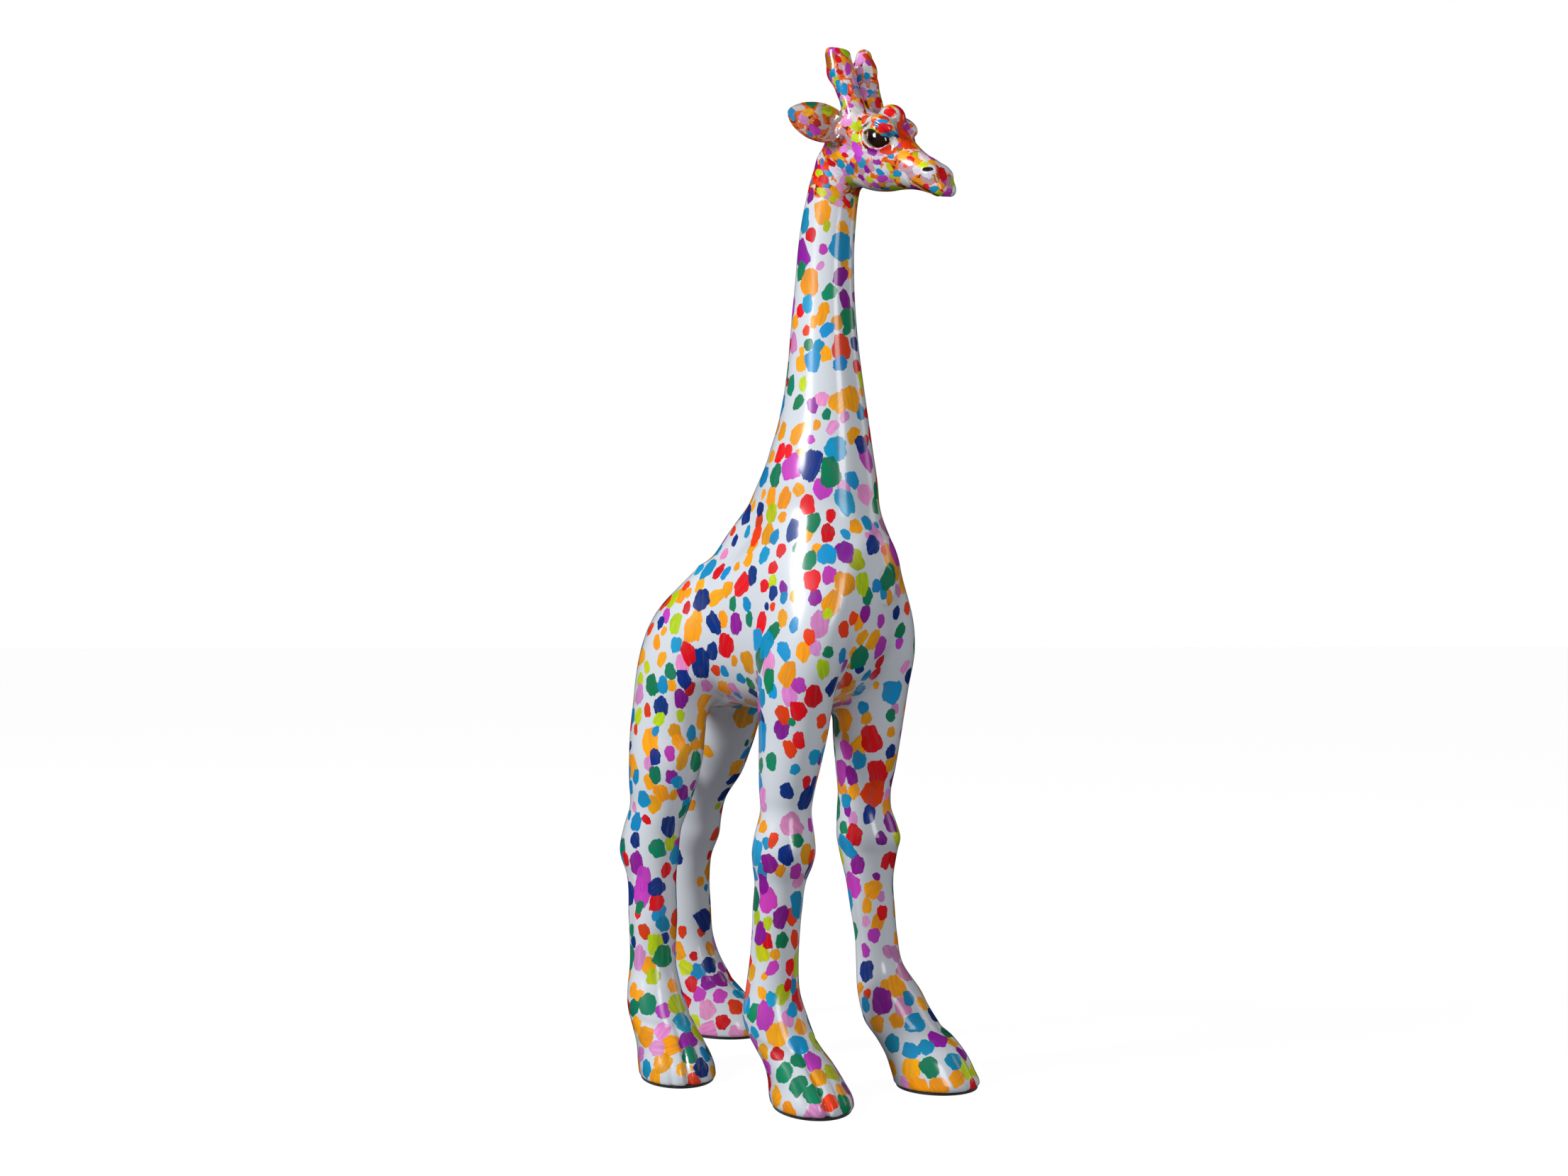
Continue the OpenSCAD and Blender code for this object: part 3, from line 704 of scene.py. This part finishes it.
class Leg:
    """A leg's sections from inside the torso down to the sole, with the cleft at
    the toe, the step of the coronet and the hollow beside the tendon behind."""

    def __init__(self, root, rows):
        self.loft = Loft(LEG_ROOTS[root][-4:] + rows, 2.1)
        self.box = rows

    def __call__(self, x, y, z):
        p, q, a, b, _ = self.loft.local(x, y, z)
        d = self.loft(x, y, z)
        toe = ramp(p / a, 0.2, 0.65)
        d = d + 2.2 * np.exp(-(q / 1.7) ** 2) * toe * (1 - ramp(z, 16, 40))
        d = d + 0.7 * np.exp(-((np.abs(q) - 9) / 1.6) ** 2) * toe * (1 - ramp(z, 10, 30))
        d = d + 0.55 * np.exp(-((z - 37 + 0.25 * p) / 2.6) ** 2) * ramp(p / a, -0.2, 0.5)
        beside = np.exp(-((p / a + 0.35) / 0.28) ** 2) * ramp(np.abs(q) / b, 0.55, 0.9)
        d = d + 0.9 * beside * ramp(z, 48, 70) * (1 - ramp(z, 112, 132))
        d = smin(d, trunk(x, y, z), 11)
        return smax(d, PAD_T - z, 1.6)


def build_leg(where, rows, lo, hi):
    """Casting of one leg, cut flat at the seam under the torso."""
    form = Leg(where, rows)
    verts, faces = surface_net(form, (*lo, -1), (*hi, LEG_SEAM + 6), leg_cell)
    leg = piece("leg_" + where + "_casting", verts, faces, cuts=[
        ((0, 0, LEG_SEAM), (0, 0, 1), lambda x, y, z: z > 200)])
    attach(leg, "root")
    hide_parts("leg_" + where)
    painted[leg.name] = (leg, form)
    return form


LEG_FRONT_RIGHT = [
    (175, 43, -35, 16, 15, 0), (167, 42.5, -35, 15, 14.3, 0), (150, 42.5, -36.5, 18, 16.5, 0),
    (142, 42.5, -37, 19, 17, 0), (134, 41.5, -37, 17.8, 16, 0), (126, 40, -37, 15.3, 14.5, 0),
    (109, 38.5, -38, 14.2, 14, 0), (93, 38, -39, 13.8, 13.6, 0), (77, 37.5, -40, 14.2, 14, 0),
    (61, 37.5, -41, 16, 15.5, -10), (49, 39, -41, 19, 18, -15), (39, 42.5, -40, 20.5, 18.5, -20),
    (31, 48, -39.3, 21.5, 18.5, -25), (23, 54.8, -38.2, 25, 19.5, -30), (14, 60.8, -38, 28.5, 21, -30),
    (5, 65, -38.3, 30.5, 23, -30), (0, 65.8, -38.3, 30, 22.5, -30),
]
form_front_right = build_leg("front_right", LEG_FRONT_RIGHT, (14, -74), (100, -8))

# ---------------------------------------------------------------------------
# Front left leg: set forward, its hoof furthest out in front.
# ---------------------------------------------------------------------------
LEG_FRONT_LEFT = [
    (169, 42, 35, 16, 15.5, 0), (161, 42, 35, 16.5, 15.8, 0), (152, 43, 36, 18.5, 17, 0),
    (144, 44.5, 36, 20, 17.5, 0), (135, 43.5, 37, 18, 16.5, 0), (118, 44.5, 37, 14.3, 14, 0),
    (101, 46, 38, 13.4, 13.2, 0), (84, 48, 39, 12.8, 12.6, 0), (67, 50, 40, 14, 14, 5),
    (51, 57, 41, 19, 19, 10), (42, 61.5, 41, 21, 19, 15), (34, 67, 41.2, 22.5, 19.6, 20),
    (26, 76, 42.5, 23.8, 20.3, 20), (18, 83.3, 43, 24.6, 21.3, 20), (9, 88.1, 43.6, 25.2, 22.3, 20),
    (4, 90.1, 44.2, 25.6, 22.8, 20), (0, 90.6, 44.2, 25.1, 22.3, 20),
]
form_front_left = build_leg("front_left", LEG_FRONT_LEFT, (14, 8), (122, 74))

# ---------------------------------------------------------------------------
# Rear right leg: broad thigh, slight bend at the hock, hoof turned outwards.
# ---------------------------------------------------------------------------
LEG_REAR_RIGHT = [
    (175, -59, -37, 23, 18, 0), (160, -61, -38, 20, 16, 0), (147, -65, -40, 19.5, 15.5, 0),
    (131, -67, -41, 20, 15.5, 0), (119, -64, -42, 16.5, 14, 0), (93, -60.5, -44, 15.2, 14.2, 0),
    (61, -58, -46, 14.8, 14, 0), (52, -56, -47, 17, 15.5, -10), (40, -52, -48, 19, 17.5, -15),
    (28, -46, -47.5, 21, 18.8, -20), (19, -41.4, -46.6, 24.5, 20.3, -25), (8, -37.4, -46.4, 28.5, 22.5, -30),
    (0, -35.9, -46.4, 29, 22.5, -30),
]
form_rear_right = build_leg("rear_right", LEG_REAR_RIGHT, (-94, -80), (-4, -8))

# ---------------------------------------------------------------------------
# Rear left leg: swept back from the thigh to the hock, then upright.
# ---------------------------------------------------------------------------
LEG_REAR_LEFT = [
    (155, -106, 40, 18.5, 16, 0), (141, -113, 42, 19.5, 16, 0), (131, -116, 43, 20, 16, 0),
    (116, -120, 44, 16.2, 14, 0), (100, -121.3, 45, 14.2, 13.6, 0), (80, -120.5, 46, 13.8, 13.2, 0),
    (60, -119.5, 47, 14.2, 13.4, 10), (44, -116.3, 48, 17.2, 16, 15), (30, -109, 49, 21, 18.5, 20),
    (20, -101, 50, 25, 19.5, 20), (9, -95, 50, 28, 21, 20), (0, -93, 50, 28.5, 21.5, 20),
]
form_rear_left = build_leg("rear_left", LEG_REAR_LEFT, (-142, 8), (-40, 78))

# ---------------------------------------------------------------------------
# Felt pads: thin black sheets under the soles, a little smaller than the soles.
# ---------------------------------------------------------------------------
def felt_cloth():
    """Black felt: fine fibre noise in colour, roughness and relief."""
    mat, s, end = new_material("black_felt")
    where = s.put("ShaderNodeTexCoord", output="Object")
    fibre = s.put("ShaderNodeTexNoise", None,
                  {"Vector": where, "Scale": 2400.0, "Detail": 3.0, "Distortion": 1.5}, "Fac")
    bump = s.put("ShaderNodeBump", {}, {"Strength": 0.6, "Distance": 0.0003, "Height": fibre})
    shader = s.node("ShaderNodeBsdfPrincipled", {}, {
        "Base Color": fibre.over((0.010, 0.010, 0.011, 1), (0.035, 0.035, 0.038, 1)),
        "Roughness": fibre * 0.1 + 0.88, "Normal": bump, "Sheen Weight": 0.3, "Sheen Roughness": 0.5})
    s.tree.links.new(shader.outputs[0], end.inputs[0])
    return mat


felt = felt_cloth()
for where, form in (("front_right", form_front_right), ("front_left", form_front_left),
                    ("rear_right", form_rear_right), ("rear_left", form_rear_left)):
    cu, cv, a, b, yaw = [np.interp(PAD_T, form.loft.t, x) for x in form.loft.tab]
    disc, disc_faces = turned([(0, 0), (0.955, 0), (0.96, 0.2), (0.96, PAD_T), (0, PAD_T)], 72)
    c, s = math.cos(math.radians(yaw)), math.sin(math.radians(yaw))
    px, py = disc[:, 0] * a, disc[:, 1] * b
    disc = np.column_stack([cu + px * c - py * s, cv + px * s + py * c, disc[:, 2]])
    pad = piece("felt_" + where, disc, disc_faces)
    pad.data.materials.append(felt)
    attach(pad, "root")
    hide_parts("pad_" + where)

# ---------------------------------------------------------------------------
# Steel rods in the legs and neck: drawn 6 mm bar, cut square with a small
# chamfer, glued into the bores and hidden inside.
# ---------------------------------------------------------------------------
ROD_R = 3.0
RODS = {
    "leg_rod_front_right": ((45, -34.5, 140), (45, -34.5, 256)),
    "leg_rod_front_left": ((45, 34.5, 140), (45, 34.5, 256)),
    "leg_rod_rear_right": ((-58, -35, 150), (-58, -35, 256)),
    "leg_rod_rear_left": ((-74, 33, 184), (-74, 33, 250)),
    "neck_rod": ((39.5, 0, 340), (47.5, 0, 536)),
}


def bar_between(a, b, r, sides):
    """Round bar with chamfered ends between two points."""
    a, b = np.array(a, float), np.array(b, float)
    h = np.linalg.norm(b - a)
    e = (b - a) / h
    side = np.cross(e, (0, 1, 0))
    side /= np.linalg.norm(side)
    c = r * 0.12
    v, f = turned([(0, 0), (r - c, 0), (r, c), (r, h - c), (r - c, h), (0, h)], sides)
    return a + v[:, :1] * side + v[:, 1:2] * np.cross(e, side) + v[:, 2:] * e, f


def drawn_steel():
    """Bright drawn steel with lines along the bar."""
    mat, s, end = new_material("drawn_steel")
    where = s.put("ShaderNodeTexCoord", output="Object")
    lines = s.put("ShaderNodeVectorMath", {"operation": "MULTIPLY"}, {0: where, 1: (2600.0, 2600.0, 30.0)}, 0)
    drawn = s.put("ShaderNodeTexNoise", None, {"Vector": lines, "Scale": 1.0, "Detail": 3.0}, "Fac")
    bump = s.put("ShaderNodeBump", {}, {"Strength": 0.1, "Distance": 0.00005, "Height": drawn})
    shader = s.node("ShaderNodeBsdfPrincipled", {}, {
        "Base Color": drawn.over((0.42, 0.42, 0.43, 1), (0.60, 0.60, 0.61, 1)), "Metallic": 1.0,
        "Roughness": drawn * 0.2 + 0.25, "Normal": bump})
    s.tree.links.new(shader.outputs[0], end.inputs[0])
    return mat


steel = drawn_steel()
for name, (a, b) in RODS.items():
    rod = piece(name + "_bar", *bar_between(a, b, ROD_R, 48))
    rod.data.materials.append(steel)
    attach(rod, "root")
    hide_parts(name)

# ---------------------------------------------------------------------------
# Tail: slim casting that hangs from the rump, with a tuft at the end, and the
# wire inside it.
# ---------------------------------------------------------------------------
# level sections: [height, centre x, half thickness]
TAIL = [
    (120.5, -99.5, 1.0), (123, -99.5, 2.6), (128, -99.5, 4.6), (142, -99.5, 7.1), (160, -99.5, 6.9),
    (175, -99.5, 4.9), (185, -99.5, 3.6), (205, -99.5, 3.5), (230, -99, 3.8),
    (250, -97.5, 4.3), (262, -95, 5.0), (268, -92.5, 5.4), (271.5, -91, 5.0),
]


def swept(rows, sides, rings, lobes, depth):
    """Closed tube through level sections with splined centre and thickness. The
    tuft's grooves are waves round the section that fade in below 185 mm."""
    tab = np.array(rows, float)
    z = np.linspace(tab[0, 0], tab[-1, 0], rings)
    x, r = spline(z, tab[:, 0], tab[:, 1]), spline(z, tab[:, 0], tab[:, 2])
    t = 2 * math.pi * np.arange(sides) / sides
    wave = 1 - depth * (1 - ramp(z, 165, 185))[:, None] * np.abs(np.sin(lobes * t + 0.04 * z[:, None]))
    v = np.stack([
        x[:, None] + r[:, None] * wave * np.cos(t), r[:, None] * wave * np.sin(t),
        np.repeat(z[:, None], sides, 1)], 2).reshape(-1, 3)
    v = np.vstack([v, [[x[0], 0, z[0] - 0.4]], [[x[-1], 0, z[-1]]]])
    f = [[k * sides + i, k * sides + (i + 1) % sides, (k + 1) * sides + (i + 1) % sides, (k + 1) * sides + i]
         for k in range(rings - 1) for i in range(sides)]
    m = rings * sides
    f += [[m, (i + 1) % sides, i] for i in range(sides)]
    f += [[m + 1, m - sides + i, m - sides + (i + 1) % sides] for i in range(sides)]
    return v, f


tail = piece("tail_casting", *swept(TAIL, 48, 120, 5, 0.16))
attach(tail, "root")
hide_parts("tail")
painted["tail_casting"] = (tail, None)

wire = piece("tail_wire_core", *bar_between((-99.5, 0, 150), (-99.5, 0, 205), 0.9, 24))
wire.data.materials.append(steel)
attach(wire, "root")
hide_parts("tail_wire")

# ---------------------------------------------------------------------------
# Painted dabs: the joined, white figure is dabbed all over with short brush
# strokes of acrylic, close together on the head, thinner inside the hind legs.
# Each dab is a squarish oval on the surface with a wavy edge. Dabs that overlap
# lie in different layers, the later over the earlier.
# ---------------------------------------------------------------------------
LAYERS = 6
# waves of a dab's edge: [how many round it, height as a share of its size]
WAVES = [(1, 0.05), (3, 0.06), (5, 0.045), (8, 0.03)]
PAINT = {
    "orange_yellow": "FFAC00", "sky_blue": "009ED2", "red": "E8001F", "orange_red": "F84A0A",
    "orchid": "CB46C4", "purple": "9A1CA4", "light_pink": "E99AD4", "green": "008E68",
    "dark_blue": "003C90", "lime": "C8DA10", "white": "E0DEE2", "ochre": "B9740C",
    "umber": "5A2A14", "mauve": "C9A3B4",
}
# share of the dabs in each colour, on the body and on the head
BODY_MIX = {
    "orange_yellow": 0.25, "sky_blue": 0.17, "red": 0.10, "orange_red": 0.05, "orchid": 0.08,
    "purple": 0.06, "light_pink": 0.07, "green": 0.10, "dark_blue": 0.08, "lime": 0.06,
}
HEAD_MIX = {
    "white": 0.16, "light_pink": 0.08, "mauve": 0.06, "orange_yellow": 0.11, "sky_blue": 0.11,
    "red": 0.14, "orange_red": 0.09, "orchid": 0.05, "purple": 0.06, "lime": 0.07,
    "green": 0.02, "dark_blue": 0.03, "ochre": 0.03,
}
# the order in which colours are laid on
ORDER = ["ochre", "umber", "orange_yellow", "mauve", "light_pink", "white", "lime", "orchid", "purple",
         "orange_red", "red", "green", "sky_blue", "dark_blue"]


def linear(code):
    """Linear red, green and blue of a six-digit colour code."""
    c = np.array([int(code[i:i + 2], 16) for i in (0, 2, 4)]) / 255
    return np.where(c <= 0.04045, c / 12.92, ((c + 0.055) / 1.055) ** 2.4)


def vertex_data(obj):
    """Positions and normals of an object's vertices, in millimetres, and their areas."""
    m = obj.data
    n = len(m.vertices)
    p, q = np.empty(n * 3), np.empty(n * 3, np.float32)
    m.vertices.foreach_get("co", p)
    m.vertex_normals.foreach_get("vector", q)
    area = np.zeros(n)
    loops = np.empty(len(m.loops), np.int32)
    m.loops.foreach_get("vertex_index", loops)
    total, fa = np.empty(len(m.polygons), np.int32), np.empty(len(m.polygons))
    m.polygons.foreach_get("loop_total", total)
    m.polygons.foreach_get("area", fa)
    np.add.at(area, loops, np.repeat(np.where(total > 6, 0, fa) / total, total))
    return p.reshape(-1, 3) * 1000, q.reshape(-1, 3).astype(float), area * 1e6


rng = np.random.default_rng(7)
data = {k: vertex_data(obj) for k, (obj, _) in painted.items()}
names = list(data)
start = dict(zip(names, np.cumsum([0] + [len(data[k][0]) for k in names])))
P = np.concatenate([data[k][0] for k in names])
N = np.concatenate([
    data[k][1] if painted[k][1] is None else gradient(painted[k][1], data[k][0]) for k in names])
N /= np.maximum(np.linalg.norm(N, axis=1, keepdims=True), 1e-9)
A = np.concatenate([data[k][2] for k in names])
on_head = ramp(P[:, 2] + 0.5 * (P[:, 0] - 45), 519, 528)
hoof = 1 - ramp(P[:, 2], 42, 52)
inner = np.zeros(len(P))
rear_left = "leg_rear_left_casting"
at = slice(start[rear_left], start[rear_left] + len(data[rear_left][0]))
inner[at] = ramp(-N[at, 1], -0.2, 0.4) * ramp(P[at, 2], 60, 90)
sole = (P[:, 2] < PAD_T + 0.6) & (N[:, 2] < -0.5)


class Dab:
    """A dab at surface point c with normal n: long axis t, half sizes a across and
    b along, colour, and the random numbers for its outline."""

    def __init__(self, i, a, b, turn, colour):
        self.c, self.n, self.a, self.b, self.colour = P[i], N[i], a, b, colour
        up = HEAD_TURN[:, 0] if on_head[i] > 0.5 and self.c[2] < 578 else np.array([0.0, 0.0, 1.0])
        t = up - self.n * (up @ self.n)
        if np.linalg.norm(t) < 0.3:
            t = np.array([1.0, 0, 0]) - self.n * self.n[0]
        t /= np.linalg.norm(t)
        s = np.cross(self.n, t)
        self.t, self.s = t * math.cos(turn) + s * math.sin(turn), s * math.cos(turn) - t * math.sin(turn)
        self.r = math.sqrt(a * b)
        self.wave = rng.uniform(0, 2 * math.pi, 4)
        self.power = rng.uniform(1.9, 2.9)
        self.seed = rng.uniform(0, 1)
        base = linear(PAINT[colour])
        self.rgb = np.clip(base ** 1.12 * rng.uniform(0.78, 1.05) * (1 + rng.normal(0, 0.06, 3)), 0.001, 1)


def scatter():
    """Random dabs. A vertex is drawn with a chance in proportion to its area; a dab
    too close to an earlier one for the local spacing is dropped."""
    dabs, spots, radii = [], np.empty((0, 3)), np.empty(0)
    chance = A * (1 + 5.5 * on_head) * (1 + 0.7 * hoof) * (1 - 0.72 * inner) * ~sole
    picks = rng.choice(len(P), 18000, p=chance / chance.sum())
    for i in picks:
        h = on_head[i] > rng.uniform(0, 1)
        if h:
            r = float(np.clip(rng.lognormal(math.log(3.2), 0.3), 1.8, 5.2))
            aspect, spread, near = rng.uniform(1.1, 2.0), 0.45, 0.56
        elif hoof[i] > 0.5:
            r = float(np.clip(rng.lognormal(math.log(5.3), 0.14), 3.6, 6.6))
            aspect, spread, near = rng.uniform(1.0, 1.25), 0.9, 0.84
        else:
            r = float(np.clip(rng.lognormal(math.log(5.1), 0.27), 2.3, 8.0))
            aspect, spread, near = rng.uniform(1.0, 1.6), 0.35, 1.08
            if rng.uniform() < 0.20:
                near = 0.64
            if inner[i] > 0.4:
                near = 1.9
        if len(radii) and (np.linalg.norm(spots - P[i], axis=1) < near * (radii + r)).any():
            continue
        mix = HEAD_MIX if h else BODY_MIX
        w = np.array(list(mix.values()))
        colour = list(mix)[rng.choice(len(w), p=w / w.sum())]
        if inner[i] > 0.4 and rng.uniform() < 0.6:
            colour = "orange_yellow"
        dabs.append(Dab(i, r / math.sqrt(aspect), r * math.sqrt(aspect), rng.normal(0, spread), colour))
        spots, radii = np.vstack([spots, P[i]]), np.append(radii, r)
    return dabs


def layered(dabs):
    """Sorts dabs by colour order with some shuffling and gives each the first
    layer in which it touches no other; a dab with no such layer is dropped."""
    rank = [ORDER.index(d.colour) + 5 * d.seed for d in dabs]
    layers = [[] for _ in range(LAYERS)]
    for k in np.argsort(rank):
        d = dabs[k]
        for layer in layers:
            gap = [np.linalg.norm(e.c - d.c) - 1.05 * (max(e.a, e.b) + max(d.a, d.b)) for e in layer]
            if not gap or min(gap) > 0.8:
                layer.append(d)
                break
    return layers


def lay_on(layers):
    """For each layer and vertex: the outline distance of the nearest dab (1 at its
    edge), the vertex's place in that dab, and the dab's colour. The distance is
    the superelliptic length of (across / a, along / b), made wavy by the first,
    third, fifth and eighth harmonics of the angle."""
    order = np.argsort(P[:, 2])
    zs = P[order, 2]
    out = []
    for dabs in layers:
        ink = np.zeros((len(P), 4), np.float32)
        ink[:, 3] = 3
        place = np.zeros((len(P), 3), np.float32)
        for d in dabs:
            reach = 2.2 * max(d.a, d.b)
            lo, hi = np.searchsorted(zs, [d.c[2] - reach, d.c[2] + reach])
            idx = order[lo:hi]
            q = P[idx] - d.c
            dist = np.linalg.norm(q, axis=1)
            ok = (dist < reach) & (N[idx] @ d.n > 0.05)
            idx, q, dist = idx[ok], q[ok], dist[ok]
            x, y = q @ d.s, q @ d.t
            flat = np.hypot(x, y) + 1e-9
            x, y = x / flat * dist / d.a, y / flat * dist / d.b
            k = (np.abs(x) ** d.power + np.abs(y) ** d.power) ** (1 / d.power)
            phi = np.arctan2(y, x)
            k *= 1 + sum(h * np.sin(m * phi + w) for (m, h), w in zip(WAVES, d.wave))
            closer = k < ink[idx, 3]
            idx = idx[closer]
            ink[idx, :3] = d.rgb
            ink[idx, 3] = k[closer]
            place[idx] = np.column_stack([x[closer], y[closer], np.full(closer.sum(), d.seed)])
        out.append((ink, place))
    return out


dabs = scatter()
layers = lay_on(layered(dabs))

# hollows of the surface, darkened with brown, partly as brown wash and partly as painted shade.
# On the head and horns: how far the form's value a little way out falls short of that distance.
# In the ear cups: painted shade where the surface faces out of the cup, deepest towards the root.
wash = np.zeros(len(P))
for k in names:
    form = painted[k][1]
    span_k = slice(start[k], start[k] + len(data[k][0]))
    if form is not None and k.split("_")[0] in ("head", "horn"):
        # painted shade and brown wash: the deeper the hollow, the darker
        wash[span_k] = np.clip(1 - form(*(P[span_k] + 2.5 * N[span_k]).T) / 2.5, 0, 1)
    elif k.startswith("ear"):
        side = -1 if "right" in k else 1
        root, tip = ear_line(side)
        open_way = np.array([0.55, side * 0.75, 0.2])
        open_way /= np.linalg.norm(open_way)
        along_ear = (P[span_k] - root) @ (tip - root) / ((tip - root) @ (tip - root))
        # painted shade inside the ear cup: darker on the faces that look out of the cup, most near the root
        wash[span_k] = ramp(N[span_k] @ open_way, 0.2, 0.8) * 0.46 * (1 - 0.6 * ramp(along_ear, 0.3, 0.9))

for k in names:
    mesh = painted[k][0].data
    span_k = slice(start[k], start[k] + len(data[k][0]))
    for j, (ink, place) in enumerate(layers):
        attr = mesh.attributes.new("ink%d" % j, "FLOAT_COLOR", "POINT")
        attr.data.foreach_set("color", ink[span_k].ravel())
        attr = mesh.attributes.new("dab%d" % j, "FLOAT_VECTOR", "POINT")
        attr.data.foreach_set("vector", place[span_k].ravel())
    for label, values in (("wash", wash), ("headness", on_head)):
        attr = mesh.attributes.new(label, "FLOAT", "POINT")
        attr.data.foreach_set("value", values[span_k].astype(np.float32))


def lacquer():
    """White lacquer with dabs over it under clear lacquer; the head has a white,
    orange and brown underpainting, and dark brown in its hollows, partly brown
    wash and partly painted shade."""
    mat, s, end = new_material("lacquer_over_dabs")
    where = s.put("ShaderNodeTexCoord", output="Object")
    fine = s.put("ShaderNodeTexNoise", None, {"Vector": where, "Scale": 900.0, "Detail": 2.0}, "Fac")
    broad = s.put("ShaderNodeTexNoise", None, {"Vector": where, "Scale": 26.0, "Detail": 2.0}, "Fac")
    blotch = s.put("ShaderNodeTexNoise", None,
                   {"Vector": where, "Scale": 190.0, "Detail": 2.5, "Distortion": 0.6}, "Fac")
    head = s.put("ShaderNodeAttribute", {"attribute_name": "headness"}, output="Fac")
    white = broad.over((0.63, 0.67, 0.73, 1), (0.67, 0.70, 0.745, 1))
    under = blotch.step(0.50, 0.56).over((0.80, 0.13, 0.006, 1), (0.68, 0.64, 0.64, 1))
    under = blotch.step(0.38, 0.43).over((0.20, 0.020, 0.008, 1), under)
    colour = head.step(0.25, 0.6).over(white, under)
    paint = None
    for k in range(LAYERS):
        ink = s.node("ShaderNodeAttribute", {"attribute_name": "ink%d" % k})
        d = Socket(s.tree, ink.outputs["Alpha"])
        place = s.put("ShaderNodeAttribute", {"attribute_name": "dab%d" % k}, output="Vector")
        hair = s.put("ShaderNodeVectorMath", {"operation": "MULTIPLY"}, {0: place, 1: (4.5, 0.7, 37.0)}, 0)
        bristle = s.put("ShaderNodeTexNoise", None, {"Vector": hair, "Scale": 1.0, "Detail": 2.0}, "Fac")
        edge = d + (fine - 0.5) * 0.14 + (bristle - 0.5) * 0.26
        mask = ((1.0 - edge) / 0.05).clamped()
        cover = mask * (bristle.step(0.25, 0.6) * 0.05 + 0.95)
        thick = bristle.step(0.3, 0.7)
        tone = thick.over((0.84, 0.84, 0.84, 1), (1.12, 1.12, 1.12, 1))
        pigment = s.put("ShaderNodeMix", {"data_type": "RGBA", "blend_type": "MULTIPLY"},
                        {0: 1.0, 6: Socket(s.tree, ink.outputs["Color"]), 7: tone}, 2)
        colour = cover.over(colour, pigment)
        paint = mask if paint is None else paint.math("MAXIMUM", paint, mask)
    hollow_wash_and_shade_in = s.put("ShaderNodeAttribute", {"attribute_name": "wash"}, output="Fac")
    # dark brown over the head's hollows and ear cups: painted shade together with brown wash
    hollow_wash_and_shade_mask = ((hollow_wash_and_shade_in + (blotch - 0.5) * 0.35).step(0.10, 0.62) * 0.88 * head).clamped()
    colour = hollow_wash_and_shade_mask.over(colour, (0.060, 0.012, 0.006, 1))
    bump = s.put("ShaderNodeBump", {}, {"Strength": 0.10, "Distance": 0.0002, "Height": paint + fine * 0.2})
    shader = s.node("ShaderNodeBsdfPrincipled", {}, {
        "Base Color": colour, "Roughness": (paint * 0.1 + 0.30), "Normal": bump,
        "Specular IOR Level": 0.15,
        "Coat Weight": 1.0, "Coat Roughness": 0.16, "IOR": 1.45, "Coat IOR": 1.5})
    s.tree.links.new(shader.outputs[0], end.inputs[0])
    return mat


finish = lacquer()
for obj, _ in painted.values():
    obj.data.materials.append(finish)

# ---------------------------------------------------------------------------
# Stage: pale studio floor, soft lights and the camera.
# ---------------------------------------------------------------------------
def sheet(name, corners, colour, glow):
    """Flat four-cornered sheet with a plain material that also glows a little."""
    mesh = bpy.data.meshes.new(name)
    mesh.from_pydata(corners, [], [[0, 1, 2, 3]])
    obj = bpy.data.objects.new(name, mesh)
    bpy.context.scene.collection.objects.link(obj)
    mat, s, end = new_material(name + "_paint")
    shader = s.node("ShaderNodeBsdfPrincipled", {}, {
        "Base Color": (*colour, 1), "Roughness": 0.9, "Specular IOR Level": 0.0,
        "Emission Color": (1, 1, 1, 1), "Emission Strength": glow})
    s.tree.links.new(shader.outputs[0], end.inputs[0])
    mesh.materials.append(mat)
    return obj


floor = sheet("floor", [(-30, -30, 0), (30, -30, 0), (30, 30, 0), (-30, 30, 0)], (0.08, 0.08, 0.08), 0.96)
floor.visible_diffuse = False
floor.visible_glossy = False
wall = sheet("wall", [(-14, -3, -1), (3, 14, -1), (3, 14, 14), (-14, -3, 14)], (0.0, 0.0, 0.0), 1.0)
wall.visible_diffuse = wall.visible_glossy = wall.visible_shadow = False


def lamp(name, at, aim, size, watts, colour=(1, 1, 1)):
    """Rectangular soft lamp at a place, facing a point."""
    light = bpy.data.lights.new(name, "AREA")
    light.shape, light.size, light.size_y = "RECTANGLE", size[0], size[1]
    light.energy, light.color = watts, colour
    obj = bpy.data.objects.new(name, light)
    obj.location = at
    obj.rotation_euler = (Vector(aim) - Vector(at)).to_track_quat("-Z", "Y").to_euler()
    bpy.context.scene.collection.objects.link(obj)
    return obj


lamp("key_softbox", (-0.75, -1.65, 1.45), (0, 0, 0.32), (0.40, 0.80), 44)
lamp("strip_front", (1.45, -0.75, 0.95), (0, 0, 0.30), (0.50, 0.90), 9)
lamp("side_warm", (0.9, 1.5, 0.9), (0, 0, 0.25), (0.5, 0.8), 2.0, (1.0, 0.90, 0.82))

world = bpy.data.worlds.new("studio")
world.use_nodes = True
world.node_tree.nodes["Background"].inputs[0].default_value = (0.93, 0.96, 1.0, 1)
world.node_tree.nodes["Background"].inputs[1].default_value = 0.25
world.cycles_visibility.glossy = False
bpy.context.scene.world = world
bpy.context.scene.view_settings.view_transform = "Standard"

camera = bpy.data.cameras.new("camera")
camera.lens, camera.sensor_width = 41.4, 36.0
view = bpy.data.objects.new("camera", camera)
view.location = (0.7513, -0.7968, 0.294)
view.rotation_euler = (math.pi / 2, 0, math.radians(43))
bpy.context.scene.collection.objects.link(view)
bpy.context.scene.camera = view
